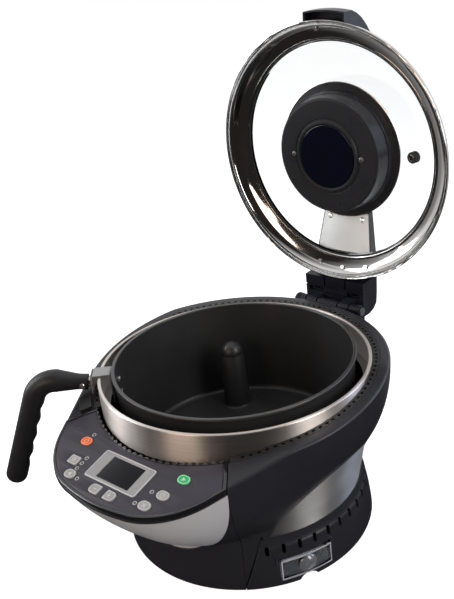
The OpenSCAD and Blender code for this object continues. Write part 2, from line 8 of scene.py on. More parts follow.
# %% Load the frame
import json
import math

import bmesh
import bpy
from mathutils import Matrix, Vector
from mathutils.geometry import tessellate_polygon

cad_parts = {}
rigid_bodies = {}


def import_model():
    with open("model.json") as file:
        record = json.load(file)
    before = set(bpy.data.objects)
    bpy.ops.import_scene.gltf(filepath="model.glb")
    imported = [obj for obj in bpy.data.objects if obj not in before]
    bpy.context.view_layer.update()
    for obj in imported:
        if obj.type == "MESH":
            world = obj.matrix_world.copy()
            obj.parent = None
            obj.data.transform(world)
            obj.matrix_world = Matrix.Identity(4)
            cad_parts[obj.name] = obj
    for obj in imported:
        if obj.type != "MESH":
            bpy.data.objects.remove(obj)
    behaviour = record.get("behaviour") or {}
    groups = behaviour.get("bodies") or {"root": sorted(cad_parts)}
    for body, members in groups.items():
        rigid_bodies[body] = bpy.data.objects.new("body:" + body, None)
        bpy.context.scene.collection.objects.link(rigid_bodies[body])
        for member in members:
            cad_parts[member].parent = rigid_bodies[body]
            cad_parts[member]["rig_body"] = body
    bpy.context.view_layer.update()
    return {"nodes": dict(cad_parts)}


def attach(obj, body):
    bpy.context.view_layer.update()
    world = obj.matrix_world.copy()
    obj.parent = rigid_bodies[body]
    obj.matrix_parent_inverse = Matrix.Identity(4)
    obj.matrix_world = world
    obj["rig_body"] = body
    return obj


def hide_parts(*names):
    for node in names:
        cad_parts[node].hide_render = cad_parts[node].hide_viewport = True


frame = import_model()
nodes = frame["nodes"]
scene = bpy.context.scene
MM = 0.001

# %% [markdown]
# ## The camera
# The photograph was taken from the front right, a little above the pot, with the camera slightly rolled.
# Lens and place come from fitting the round rims of pot, ring and lid. A camera could be aimed with a
# constraint, but an explicit direction and roll are easier to read and stay fixed.

# %% Camera
PHOTO_HEIGHT = 599
FOCAL_PIXELS = 846.1
CAMERA_AT = Vector((0.5046, -0.5409, 0.5672))
AZIMUTH = math.radians(42.98)
ELEVATION = math.radians(23.74)
ROLL = math.radians(-6.75)
camera_data = bpy.data.cameras.new("photo_camera")
camera_data.sensor_width = 36.0
camera_data.lens = camera_data.sensor_width * FOCAL_PIXELS / PHOTO_HEIGHT
camera = bpy.data.objects.new("photo_camera", camera_data)
scene.collection.objects.link(camera)
level = math.cos(ELEVATION)
back = Vector((math.sin(AZIMUTH) * level, -math.cos(AZIMUTH) * level, math.sin(ELEVATION)))
look = (-back).to_track_quat("-Z", "Y").to_matrix().to_4x4()
camera.matrix_world = Matrix.Translation(CAMERA_AT) @ look @ Matrix.Rotation(ROLL, 4, "Z")
scene.camera = camera
print("camera: lens", round(camera_data.lens, 2), "mm")

# %% [markdown]
# ## A tool for shader nodes
# The backdrop, the floor and every finish are trees of nodes. One function adds a node, sets its values
# and draws its wires in a single call, so that each tree stays short enough to read.

# %% Node tool
def add(tree, kind, sockets=None, **settings):
    """Add a shader node. Each socket takes a value, or a wire from another node's output."""
    node = tree.nodes.new("ShaderNode" + kind)
    for key, value in settings.items():
        setattr(node, key, value)
    for label, value in (sockets or {}).items():
        if isinstance(value, bpy.types.NodeSocket):
            tree.links.new(value, node.inputs[label])
        else:
            node.inputs[label].default_value = value
    return node


def math_of(tree, operation, *values, **settings):
    """The result of one sum, product or the like on values and wires."""
    return add(tree, "Math", dict(enumerate(values)), operation=operation, **settings).outputs[0]


def toward_room(tree, vector):
    """How far a direction or a place points to the bright side of the room."""
    return add(tree, "VectorMath", {0: vector, 1: ROOM_SIDE}, operation="DOT_PRODUCT").outputs["Value"]


def rays_of(tree):
    """The kinds of ray, and a mask that is 1 for the camera and through glass."""
    kinds = add(tree, "LightPath").outputs
    return kinds, math_of(tree, "MAXIMUM", kinds["Is Camera Ray"], kinds["Is Transmission Ray"])


ROOM_SIDE = Vector((-0.55, 0.75, 0.30))
WHITE = (1, 1, 1, 1)
print("node tool ready")

# %% [markdown]
# ## Light, floor and backdrop
# A product on white is lit by large soft lamps, with a pale sweep behind it and a darker room on the
# camera's side. Polished steel shows that room, so the world keeps a bright half behind the object and a
# dim half before it for glossy rays, while the camera and the glass see plain white. The floor is pale
# and keeps the shadow.

# %% World
DIM_ROOM = (0.36, (0.024, 0.020, 0.018, 1))
BRIGHT_SWEEP = (0.62, (0.95, 0.95, 0.96, 1))
scene.view_settings.view_transform = "Standard"
world = bpy.data.worlds.new("studio")
scene.world = world
world.use_nodes = True
tree = world.node_tree
tree.nodes.clear()
kinds, seen = rays_of(tree)
facing = toward_room(tree, add(tree, "TexCoord").outputs["Generated"])
room = add(tree, "ValToRGB", {"Fac": math_of(tree, "MULTIPLY_ADD", facing, 0.5, 0.5)})
for stop, (position, color) in zip(list(room.color_ramp.elements), (DIM_ROOM, BRIGHT_SWEEP)):
    stop.position = position
    stop.color = color
fill_light = add(tree, "Background", {"Color": (0.92, 0.95, 1.0, 1), "Strength": 0.16}).outputs[0]
room_light = add(tree, "Background", {"Color": room.outputs["Color"]}).outputs[0]
white = add(tree, "Background", {"Color": WHITE}).outputs[0]
glossy = add(tree, "MixShader", {0: kinds["Is Glossy Ray"], 1: fill_light, 2: room_light}).outputs[0]
shown = add(tree, "MixShader", {0: seen, 1: glossy, 2: white}).outputs[0]
add(tree, "OutputWorld", {"Surface": shown})
print("world:", len(tree.nodes), "nodes")

# %% [markdown]
# Five softboxes light the cooker: a main one on the right, a fill on the left, a warm one in front and a
# cool one behind that tint the steel, and one above that stays out of reflections. Point lamps would be
# simpler, but they draw hard edges and small glints.

# %% Lamps
AIM = Vector((0.0, 0.05, 0.18))


def softbox(name, at, width, height, watts, color=(1, 1, 1)):
    """A rectangular lamp that points at the cooker."""
    data = bpy.data.lights.new(name, "AREA")
    data.shape = "RECTANGLE"
    data.size = width
    data.size_y = height
    data.energy = watts
    data.color = color
    lamp = bpy.data.objects.new(name, data)
    scene.collection.objects.link(lamp)
    lamp.location = at
    lamp.rotation_euler = (AIM - Vector(at)).to_track_quat("-Z", "Y").to_euler()
    return lamp


softbox("key_right", (1.34, 0.12, 0.80), 0.55, 1.0, 11.5, (1.0, 0.97, 0.94))
softbox("fill_left", (-1.35, -0.72, 0.8), 0.45, 1.1, 12, (0.97, 0.98, 1.0))
softbox("warm_room", (-0.05, -1.7, 0.75), 0.75, 0.8, 8, (1.0, 0.80, 0.66))
softbox("cool_edge", (0.95, 1.15, 0.65), 0.5, 0.8, 5, (0.62, 0.72, 1.0))
top_lamp = softbox("top", (0.05, 0.1, 1.6), 0.9, 0.9, 6)
top_lamp.visible_glossy = False

# %% [markdown]
# The floor is a wide disc of pale paper, a hair below the feet. It glows for the camera and through
# glass, so that it reads as white, and it still takes the shadow. In reflections it turns dark towards
# the camera's side, like the room.

# %% Floor
FLOOR_RADIUS = 4.0
FLOOR_DROP = 0.0002
GLOW = 0.80
FADE_FROM = 0.1
FADE_TO = 0.75
DARK_FLOOR = (0.022, 0.020, 0.019, 1)
PALE_FLOOR = (0.75, 0.75, 0.75, 1)
floor_mesh = bpy.data.meshes.new("floor")
bm = bmesh.new()
bmesh.ops.create_circle(bm, cap_ends=True, segments=96, radius=FLOOR_RADIUS)
bm.to_mesh(floor_mesh)
bm.free()
floor = bpy.data.objects.new("floor", floor_mesh)
scene.collection.objects.link(floor)
floor.location.z = -FLOOR_DROP
floor_paper = bpy.data.materials.new("floor_paper")
floor_paper.use_nodes = True
tree = floor_paper.node_tree
paper = tree.nodes["Principled BSDF"]
paper.inputs["Base Color"].default_value = (0.84, 0.84, 0.85, 1)
paper.inputs["Roughness"].default_value = 0.7
paper.inputs["Emission Color"].default_value = WHITE
kinds, seen = rays_of(tree)
tree.links.new(math_of(tree, "MULTIPLY", seen, GLOW), paper.inputs["Emission Strength"])
toward = toward_room(tree, add(tree, "NewGeometry").outputs["Position"])
fade = add(tree, "MapRange", {"Value": toward, "From Min": FADE_FROM, "From Max": FADE_TO}).outputs["Result"]
tones = {"Factor": fade, "A": DARK_FLOOR, "B": PALE_FLOOR}
tone = add(tree, "Mix", tones, data_type="RGBA").outputs["Result"]
in_metal = add(tree, "Emission", {"Color": tone}).outputs[0]
reflected = math_of(tree, "SUBTRACT", kinds["Is Glossy Ray"], kinds["Is Transmission Ray"], use_clamp=True)
mirror = add(tree, "MixShader", {0: reflected, 1: paper.outputs[0], 2: in_metal}).outputs[0]
tree.links.new(mirror, tree.nodes["Material Output"].inputs["Surface"])
floor_mesh.materials.append(floor_paper)
print("floor: radius", FLOOR_RADIUS, "m")

# %% [markdown]
# ## Effects that several finishes share
# Moulded plastic has a fine grain, turned or brushed steel has lines that run round its axis, every
# handled surface has smudges that change its gloss, and convex edges get a painted highlight that makes
# them a little lighter. Each effect is one node group, so that a material only has to place it and give it
# its own values.

# %% Node groups
def group_with(name, inputs, outputs):
    """An empty shader group, the sockets that enter it and the sockets that leave it."""
    group = bpy.data.node_groups.new(name, "ShaderNodeTree")
    for label, value in inputs.items():
        kind = "NodeSocketVector" if value is None else "NodeSocketFloat"
        socket = group.interface.new_socket(name=label, in_out="INPUT", socket_type=kind)
        if value is not None:
            socket.default_value = value
    for label in outputs:
        group.interface.new_socket(name=label, in_out="OUTPUT", socket_type="NodeSocketFloat")
    return group, group.nodes.new("NodeGroupInput").outputs, group.nodes.new("NodeGroupOutput").inputs


def noise(group, vector, scale, detail):
    """Noise inside a group."""
    return add(group, "TexNoise", {"Vector": vector, "Scale": scale, "Detail": detail}).outputs["Fac"]


def ramp(group, value, low, high, **ends):
    """A clamped map from one range to another inside a group."""
    sockets = {"Value": value, "From Min": low, "From Max": high}
    sockets.update({label.replace("_", " "): end for label, end in ends.items()})
    return add(group, "MapRange", sockets).outputs["Result"]


def moulded_grain_group():
    """Fine bump of a moulded skin, and a slow light and dark tone."""
    group, enter, leave = group_with("moulded_grain", {"Vector": None, "Scale": 1500.0}, ["Height", "Tone"])
    group.links.new(noise(group, enter["Vector"], enter["Scale"], 2), leave["Height"])
    group.links.new(noise(group, enter["Vector"], 16, 3), leave["Tone"])
    return group


def turned_lines_group():
    """Lines that run round the Z axis of the incoming vector, as on brushed or spun metal."""
    sockets = {"Vector": None, "Fineness": 3000.0}
    group, enter, leave = group_with("turned_lines", sockets, ["Height", "Streak"])
    split = add(group, "SeparateXYZ", {0: enter["Vector"]}).outputs
    plan = add(group, "CombineXYZ", {"X": split["X"], "Y": split["Y"]}).outputs[0]
    radius = add(group, "VectorMath", {0: plan}, operation="LENGTH").outputs["Value"]
    unit = add(group, "VectorMath", {0: plan}, operation="NORMALIZE").outputs[0]
    across = math_of(group, "ADD", split["Z"], radius)
    scaled = math_of(group, "MULTIPLY", across, enter["Fineness"])
    rise = add(group, "CombineXYZ", {"Z": scaled}).outputs[0]
    winding = {0: unit, 1: (2.5, 2.5, 2.5), 2: rise}
    spiral = add(group, "VectorMath", winding, operation="MULTIPLY_ADD").outputs[0]
    group.links.new(noise(group, spiral, 1, 2), leave["Height"])
    group.links.new(noise(group, spiral, 0.22, 2), leave["Streak"])
    return group


def hand_marks_group():
    """Roughness that wanders between two values, as fingers and cloths leave it."""
    group, enter, leave = group_with("hand_marks", {"Vector": None, "Low": 0.3, "High": 0.4}, ["Roughness"])
    cloud = noise(group, enter["Vector"], 22, 5)
    rough = ramp(group, cloud, 0.36, 0.64, To_Min=enter["Low"], To_Max=enter["High"])
    group.links.new(rough, leave["Roughness"])
    return group


def rubbed_edges_group():
    """A mask for a painted highlight: 1 on convex edges, broken up by noise."""
    group, enter, leave = group_with("rubbed_edges", {"Vector": None, "Amount": 0.5}, ["Mask"])
    convex = ramp(group, add(group, "NewGeometry").outputs["Pointiness"], 0.52, 0.60)
    broken = math_of(group, "MULTIPLY", convex, noise(group, enter["Vector"], 120, 3))
    group.links.new(math_of(group, "MULTIPLY", broken, enter["Amount"]), leave["Mask"])
    return group


def specks_group():
    """A mask of fine bright grains, as in a non-stick coat or a flake paint."""
    sockets = {"Vector": None, "Scale": 2500.0, "Amount": 0.5}
    group, enter, leave = group_with("specks", sockets, ["Mask"])
    grains = noise(group, enter["Vector"], enter["Scale"], 1)
    group.links.new(ramp(group, grains, 0.55, 0.75, To_Max=enter["Amount"]), leave["Mask"])
    return group


GRAIN = moulded_grain_group()
LINES = turned_lines_group()
MARKS = hand_marks_group()
EDGES = rubbed_edges_group()
SPECKS = specks_group()
print("groups:", [g.name for g in bpy.data.node_groups])

# %% [markdown]
# ## Finishes
# Nearly every finish here is a Principled shader whose colour moves a little between two tones, whose
# roughness wanders with handling, and whose surface has a fine bump. One function places those effects
# with the values of each finish. What is the same all over, such as a coat or an index of refraction, is
# set on the shader itself.

# %% Finish builder
LID_AXIS_Y = 0.179
LID_AXIS_Z = 0.3337
LID_CENTRE_TURNED = (0, LID_AXIS_Z, -LID_AXIS_Y)
# How much lighter the painted highlight on convex edges makes a colour.
EDGE_HIGHLIGHT_LIFT = 2.6


def use_group(tree, group, vector, **values):
    """Place a shared effect in a material, feed it the coordinates and set its values."""
    return add(tree, "Group", {"Vector": vector, **values}, node_tree=group).outputs


def mix_colors(tree, factor, first, second):
    """A colour mix; either colour may be a value or another node's output."""
    return add(tree, "Mix", {"Factor": factor, "A": first, "B": second}, data_type="RGBA").outputs["Result"]


def toned(color, factor):
    """A colour made lighter or darker, with its alpha."""
    return (*[c * factor for c in color], 1)


def finish(
        name, color, rough, spread=0.15, bump=0.0, grain=1500.0, edge=0.0, speck=None, brushed="", **sockets):
    """A material: colour, its spread, roughness range, bump and grain, painted edge highlights, specks,
    brushed lines.
    """
    material = bpy.data.materials.new(name)
    material.use_nodes = True
    tree = material.node_tree
    shader = tree.nodes["Principled BSDF"].inputs
    coords = add(tree, "TexCoord").outputs["Object"]
    if brushed == "Y":
        turn = {"Vector": coords, "Location": LID_CENTRE_TURNED, "Rotation": (math.radians(90), 0, 0)}
        coords = add(tree, "Mapping", turn).outputs["Vector"]
    if brushed:
        lines = use_group(tree, LINES, coords, Fineness=grain)
        height = lines["Height"]
        tone = lines["Streak"]
        tangent = add(tree, "Tangent", direction_type="RADIAL", axis=brushed)
        tree.links.new(tangent.outputs[0], shader["Tangent"])
    elif spread or bump:
        skin = use_group(tree, GRAIN, coords, Scale=grain)
        height = skin["Height"]
        tone = skin["Tone"]
    base = toned(color, 1)
    if spread:
        base = mix_colors(tree, tone, toned(color, 1 - spread), toned(color, 1 + spread))
    if speck:
        scale, amount, spot_color = speck
        grains = use_group(tree, SPECKS, coords, Scale=scale, Amount=amount)
        base = mix_colors(tree, grains["Mask"], base, toned(spot_color, 1))
    # Painted highlight: the colour of convex edges is lightened by the edge amount.
    if edge:
        rubbed = use_group(tree, EDGES, coords, Amount=edge)
        base = mix_colors(tree, rubbed["Mask"], base, toned(color, EDGE_HIGHLIGHT_LIFT))
    if spread or speck or edge:
        tree.links.new(base, shader["Base Color"])
    else:
        shader["Base Color"].default_value = base
    marks = use_group(tree, MARKS, coords, Low=rough[0], High=rough[1])
    tree.links.new(marks["Roughness"], shader["Roughness"])
    if bump:
        relief = add(tree, "Bump", {"Strength": 1.0, "Distance": bump * MM, "Height": height})
        tree.links.new(relief.outputs["Normal"], shader["Normal"])
    for label, value in sockets.items():
        shader[label.replace("_", " ")].default_value = value
    return material


print("finish builder ready")

# %% [markdown]
# The black mouldings are a satin plastic with a faint blue cast. The pot's grip is a softer, rougher
# black, the bezel and the hub's cap are glossy, and the panel is a charcoal film with a fine speckle. One
# builder makes them all, so that the blacks stay a family and differ only in their values.

# %% Plastics
# Each edge value below sets the strength of a painted highlight on convex edges.
BLACK = (0.017, 0.017, 0.0215)
satin_black = finish(
    "satin_black", BLACK, (0.30, 0.40), bump=0.012, grain=1100, edge=0.5, Specular_IOR_Level=0.35)
deck_black = finish(
    "deck_black", (0.015, 0.0147, 0.0152), (0.36, 0.46), bump=0.018, grain=900, edge=0.4,
    Specular_IOR_Level=0.35)
grip_black = finish(
    "grip_black", (0.014, 0.014, 0.016), (0.38, 0.50), bump=0.03, grain=800, edge=0.3, Specular_IOR_Level=0.4)
hinge_black = finish(
    "hinge_black", (0.0075, 0.0075, 0.0125), (0.28, 0.40), bump=0.015, grain=900, edge=0.9,
    Specular_IOR_Level=0.24)
hub_black = finish(
    "hub_black", (0.025, 0.025, 0.028), (0.24, 0.34), bump=0.010, grain=1000, edge=0.8,
    Specular_IOR_Level=0.22)
gloss_black = finish(
    "gloss_black", (0.008, 0.008, 0.009), (0.12, 0.18), edge=0.3, Coat_Weight=0.5, Coat_Roughness=0.05)
navy_gloss = finish("navy_gloss", (0.0025, 0.0035, 0.011), (0.08, 0.13), Coat_Weight=0.2, Coat_Roughness=0.03)
rubber = finish("rubber", (0.012, 0.012, 0.012), (0.6, 0.75), bump=0.03, grain=600)
charcoal_film = finish(
    "charcoal_film", (0.041, 0.038, 0.051), (0.34, 0.42), spread=0.08, bump=0.004, grain=2400,
    speck=(5200, 0.25, (0.11, 0.11, 0.12)), Specular_IOR_Level=0.3)
display_glass = finish("display_glass", (0.005, 0.005, 0.008), (0.07, 0.12), Specular_IOR_Level=0.18)
print("plastics:", len(bpy.data.materials))

# %% [markdown]
# Keys and print are thin bright plastics. Their colours come from the panel: an orange power key, a green
# start key and light grey ones, each with a paler outline. The paler tone is a finish of its own, not a
# painted texture, because the outline is a piece of its own.

# %% Key finishes
orange_key = finish("orange_key", (0.80, 0.13, 0.035), (0.32, 0.42), spread=0.06, bump=0.004, grain=2500)
orange_pale = finish("orange_pale", (0.90, 0.48, 0.33), (0.35, 0.45), spread=0.05)
green_key = finish("green_key", (0.04, 0.42, 0.15), (0.32, 0.42), spread=0.06, bump=0.004, grain=2500)
green_pale = finish("green_pale", (0.50, 0.80, 0.58), (0.35, 0.45), spread=0.05)
grey_key = finish("grey_key", (0.36, 0.36, 0.36), (0.34, 0.44), spread=0.06, bump=0.004, grain=2500)
grey_pale = finish("grey_pale", (0.62, 0.62, 0.62), (0.35, 0.45), spread=0.05)
lamp_lens = finish("lamp_lens", (0.05, 0.045, 0.04), (0.10, 0.16), Coat_Weight=1.0, Coat_Roughness=0.05)
print("key finishes ready")

# %% [markdown]
# The ring round the pot and the band below are brushed stainless steel: a metal whose fine lines run
# round the axis and stretch each highlight upwards. A picture of such lines could be wrapped round them,
# but lines worked out from the axis need no unwrapping. The lid's rim is polished, and so are most
# screws. The pod is silver paint with fine flakes, and the pot has a dark non-stick coat with a faint
# sparkle.

# %% Metals and paints
brushed_steel = finish(
    "brushed_steel", (0.71, 0.65, 0.61), (0.36, 0.42), spread=0.10, bump=0.003, grain=2600, brushed="Z",
    Metallic=1.0, Anisotropic=0.93, Anisotropic_Rotation=0.25)
band_steel = finish(
    "band_steel", (0.80, 0.80, 0.80), (0.34, 0.40), spread=0.10, bump=0.003, grain=2600, brushed="Z",
    Metallic=1.0, Anisotropic=0.93, Anisotropic_Rotation=0.25)
polished_steel = finish(
    "polished_steel", (0.62, 0.61, 0.60), (0.05, 0.11), spread=0.04, bump=0.0015, grain=1500, brushed="Y",
    Metallic=1.0)
dull_steel = finish("dull_steel", (0.15, 0.15, 0.15), (0.36, 0.46), spread=0.06, Metallic=0.6)
bright_steel = finish("bright_steel", (0.68, 0.68, 0.67), (0.12, 0.22), spread=0.06, Metallic=1.0)
plate_silver = finish(
    "plate_silver", (0.36, 0.36, 0.36), (0.40, 0.48), spread=0.06, bump=0.006, grain=1800, Metallic=0.5)
silver_paint = finish(
    "silver_paint", (0.52, 0.52, 0.53), (0.30, 0.36), spread=0.04, speck=(6000, 0.30, (0.80, 0.80, 0.80)),
    Metallic=0.25, Coat_Weight=0.30, Coat_Roughness=0.12)
frame_silver = finish(
    "frame_silver", (0.32, 0.32, 0.32), (0.36, 0.44), spread=0.05, speck=(3000, 0.30, (0.70, 0.70, 0.70)),
    Metallic=0.45)
sheet_metal = finish(
    "sheet_metal", (0.30, 0.30, 0.31), (0.30, 0.42), brushed="Z", grain=1500, bump=0.006, Metallic=1.0)
cast_aluminium = finish(
    "cast_aluminium", (0.42, 0.42, 0.43), (0.38, 0.52), bump=0.04, grain=500, Metallic=1.0)
nonstick = finish(
    "nonstick", (0.020, 0.020, 0.0205), (0.36, 0.46), spread=0.12, bump=0.02, grain=700,
    speck=(1800, 0.35, (0.06, 0.06, 0.062)))
# The pot's lip is bare metal. Its lighter colour is partly a painted highlight along the rim.
bare_lip_and_highlight = finish("bare_lip_and_highlight", (0.09, 0.09, 0.09), (0.28, 0.38), Metallic=0.7)
circuit_green = finish(
    "circuit_green", (0.02, 0.10, 0.045), (0.35, 0.5), speck=(900, 0.5, (0.30, 0.24, 0.10)))
print("metals and paints ready")

# %% [markdown]
# Glass and the drawer's clear plastic bend light, so they keep one plain colour and plain transmission.
# Only the roughness wanders a little. The drawer's boss is a darker lens and its lip is frosted. Lamps
# would draw hard shadows through these pieces, so they cast none.

# %% Clear finishes
glass = finish("glass", (0.97, 0.985, 0.98), (0.0, 0.008), spread=0.0, Transmission_Weight=1.0, IOR=1.5)
frosted_edge = finish(
    "frosted_edge", (0.42, 0.43, 0.46), (0.22, 0.34), spread=0.35, grain=900, Coat_Weight=0.6)
clear_lens = finish(
    "clear_lens", (0.23, 0.24, 0.265), (0.06, 0.12), spread=0.0, Transmission_Weight=0.6, IOR=1.49,
    Coat_Weight=1.0)
clear_plastic = finish(
    "clear_plastic", (0.72, 0.74, 0.78), (0.02, 0.06), spread=0.0, Transmission_Weight=1.0, IOR=1.49)
print("finishes:", len(bpy.data.materials))

# %% [markdown]
# ## Drawing tools
# A part of a piece is a pair: points in millimetres and faces. Turned parts spin a profile about an axis,
# lofts skin a row of slices, and flat parts are cut from outlines with holes. One function joins the
# parts of a piece, welds them, smooths them and hands the piece to its body. Working with plain lists
# keeps each shape readable.

# %% Outline tools
def sind(degrees):
    """Sine of an angle in degrees."""
    return math.sin(math.radians(degrees))


def cosd(degrees):
    """Cosine of an angle in degrees."""
    return math.cos(math.radians(degrees))


def rounded(corners, steps=5):
    """A closed outline whose corners (x, y, radius) are rounded."""
    outline = []
    for i, (x, y, radius) in enumerate(corners):
        here = Vector((x, y))
        before = Vector(corners[i - 1][:2]) - here
        after = Vector(corners[(i + 1) % len(corners)][:2]) - here
        angle = before.angle(after)
        if radius == 0 or angle > math.pi - 0.02:
            outline.append(here)
            continue
        reach = min(radius / math.tan(angle / 2), 0.49 * before.length, 0.49 * after.length)
        first = here + before.normalized() * reach
        last = here + after.normalized() * reach
        for k in range(steps + 1):
            t = k / steps
            outline.append(first * (1 - t) ** 2 + here * 2 * t * (1 - t) + last * t ** 2)
    return [tuple(p) for p in outline]


def curve_through(points, steps=8):
    """A smooth open curve that passes through the points."""
    ends = [points[0], *points, points[-1]]
    curve = []
    for i in range(1, len(ends) - 2):
        p0, p1, p2, p3 = (Vector(p) for p in ends[i - 1:i + 3])
        for k in range(steps):
            t = k / steps
            bend = (2 * p0 - 5 * p1 + 4 * p2 - p3) * t * t + (3 * p1 - p0 - 3 * p2 + p3) * t ** 3
            curve.append(tuple(0.5 * (2 * p1 + (p2 - p0) * t + bend)))
    curve.append(tuple(points[-1]))
    return curve


def circle(radius, steps=48, x=0.0, y=0.0):
    """A closed round outline."""
    return [(x + radius * cosd(360 * k / steps), y + radius * sind(360 * k / steps)) for k in range(steps)]


def oval(length, width, steps=12):
    """A closed outline with two straight sides and two half-round ends."""
    radius = width / 2
    reach = length / 2 - radius
    turns = [-90 + 180 * k / steps for k in range(steps + 1)]
    right = [(reach + radius * cosd(a), radius * sind(a)) for a in turns]
    return right + [(-x, -y) for x, y in right]


def bar(length, width, x=0.0, y=0.0, turn=0.0):
    """A closed outline of a straight bar."""
    corners = [(u * length / 2, v * width / 2) for u, v in ((-1, -1), (1, -1), (1, 1), (-1, 1))]
    return [(x + u * cosd(turn) - v * sind(turn), y + u * sind(turn) + v * cosd(turn)) for u, v in corners]


def rounded_box(x0, y0, x1, y1, radius):
    """A closed outline of a box with rounded corners."""
    return rounded([(x0, y0, radius), (x1, y0, radius), (x1, y1, radius), (x0, y1, radius)])


def area_of(outline):
    """Signed area, positive when the outline runs counter-clockwise."""
    pairs = zip(outline, outline[1:] + outline[:1])
    return sum(a[0] * b[1] - b[0] * a[1] for a, b in pairs) / 2


def inset(outline, distance):
    """The outline moved sideways to its left, which is inwards where it runs counter-clockwise."""
    moved = []
    for i, point in enumerate(outline):
        here = Vector(point)
        into = (here - Vector(outline[i - 1])).normalized()
        out = (Vector(outline[(i + 1) % len(outline)]) - here).normalized()
        side = Vector((-into.y - out.y, into.x + out.x))
        reach = distance / max(0.5, side.length_squared / 4) / 2
        moved.append(tuple(here + side * reach))
    return moved


print("outline tools ready")

# %% [markdown]
# Solids are plain points and faces until their parts are joined. Modifiers could do much of this, but
# lists are easier to move and to count. Cutting is left to a boolean modifier, and where a solid of the
# frame is kept, its edges are rounded with a bevel.

# %% Solid tools
def lofted(rings, closed=False, caps=True):
    """Points and faces that skin a row of equal rings."""
    size = len(rings[0])
    points = [p for ring in rings for p in ring]
    faces = []
    spans = len(rings) if closed else len(rings) - 1
    for k in range(spans):
        start = k * size
        after = ((k + 1) % len(rings)) * size
        for i in range(size):
            j = (i + 1) % size
            faces.append((start + i, start + j, after + j, after + i))
    if caps and not closed:
        faces.append(tuple(range(size - 1, -1, -1)))
        faces.append(tuple(range((len(rings) - 1) * size, len(rings) * size)))
    return points, faces


def turned(profile, steps=180):
    """Points and faces of a closed profile (radius, height) spun about an upright axis."""
    rings = []
    for k in range(steps):
        c = cosd(360 * k / steps)
        s = sind(360 * k / steps)
        rings.append([(r * c, r * s, z) for r, z in profile])
    return lofted(rings, closed=True)


def flat(outlines, low, high, edge=0.3):
    """Points and faces of a plate with rounded upper edges. Outlines after the first are holes."""
    points = []
    faces = []
    tops = []
    bottoms = []
    for number, outline in enumerate(outlines):
        if (area_of(outline) > 0) != (number == 0):
            outline = outline[::-1]
        levels = [(0, low), (0, high - edge), (0.3 * edge, high - 0.3 * edge), (edge, high)]
        rings = [[(*p, z) for p in (inset(outline, d) if d else outline)] for d, z in levels]
        start = len(points)
        ring_points, ring_faces = lofted(rings, caps=False)
        points += ring_points
        faces += [tuple(start + i for i in face) for face in ring_faces]
        size = len(outline)
        bottoms.append(range(start, start + size))
        tops.append(range(start + 3 * size, start + 4 * size))
    for loops in (bottoms, tops):
        order = [i for loop in loops for i in loop]
        triangles = tessellate_polygon([[Vector(points[i]) for i in loop] for loop in loops])
        faces += [tuple(order[i] for i in triangle) for triangle in triangles]
    return points, faces


def prism(outline, low, high):
    """Points and faces of an outline drawn straight up."""
    return lofted([[(*p, z) for p in outline] for z in (low, high)])


def moved(part, matrix):
    """A part under a 4x4 matrix in millimetres."""
    points, faces = part
    return [tuple(matrix @ Vector(p)) for p in points], faces


def filled(bm, points, faces, scale=MM, number=0):
    """Add a part's points and faces to a bmesh, with the number of its finish."""
    verts = [bm.verts.new(Vector(p) * scale) for p in points]
    for face in faces:
        bm.faces.new([verts[i] for i in face]).material_index = number


def shaped(name, bm, finishes, body, stands_for, crease):
    """Turn a finished bmesh into a smooth piece that rides on a body."""
    bmesh.ops.recalc_face_normals(bm, faces=bm.faces)
    mesh = bpy.data.meshes.new(name)
    bm.to_mesh(mesh)
    bm.free()
    mesh.shade_smooth()
    mesh.set_sharp_from_angle(angle=math.radians(crease))
    for material in finishes:
        mesh.materials.append(material)
    obj = bpy.data.objects.new(name, mesh)
    scene.collection.objects.link(obj)
    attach(obj, body)
    if stands_for:
        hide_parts(*stands_for)
    return obj


def piece(name, parts, finishes, body, stands_for=(), crease=35, weld=0.002):
    """Join parts into one piece. A part may be a pair, or a pair and the number of its finish."""
    bm = bmesh.new()
    for points, faces, *number in parts:
        filled(bm, points, faces, MM, *number)
    bmesh.ops.remove_doubles(bm, verts=bm.verts, dist=weld * MM)
    bmesh.ops.dissolve_degenerate(bm, edges=bm.edges, dist=0.0005 * MM)
    wide = [f for f in bm.faces if len(f.verts) > 4]
    bmesh.ops.triangulate(bm, faces=wide)
    return shaped(name, bm, finishes, body, stands_for, crease)


def blank(label, parts):
    """A scratch object, in millimetres, for cutting."""
    bm = bmesh.new()
    for points, faces in parts:
        filled(bm, points, faces, 1)
    bmesh.ops.recalc_face_normals(bm, faces=bm.faces)
    mesh = bpy.data.meshes.new(label)
    bm.to_mesh(mesh)
    bm.free()
    obj = bpy.data.objects.new(label, mesh)
    scene.collection.objects.link(obj)
    return obj


def carved(parts, cutters):
    """Points and faces of some parts with others cut out of them."""
    stock = blank("stock", parts)
    tool = blank("tool", cutters)
    cut = stock.modifiers.new("cut", "BOOLEAN")
    cut.object = tool
    cut.solver = "EXACT"
    cut.use_self = True
    whole = stock.evaluated_get(bpy.context.evaluated_depsgraph_get()).to_mesh()
    points = [tuple(v.co) for v in whole.vertices]
    faces = [tuple(f.vertices) for f in whole.polygons]
    for obj in (stock, tool):
        mesh = obj.data
        bpy.data.objects.remove(obj)
        bpy.data.meshes.remove(mesh)
    return points, faces


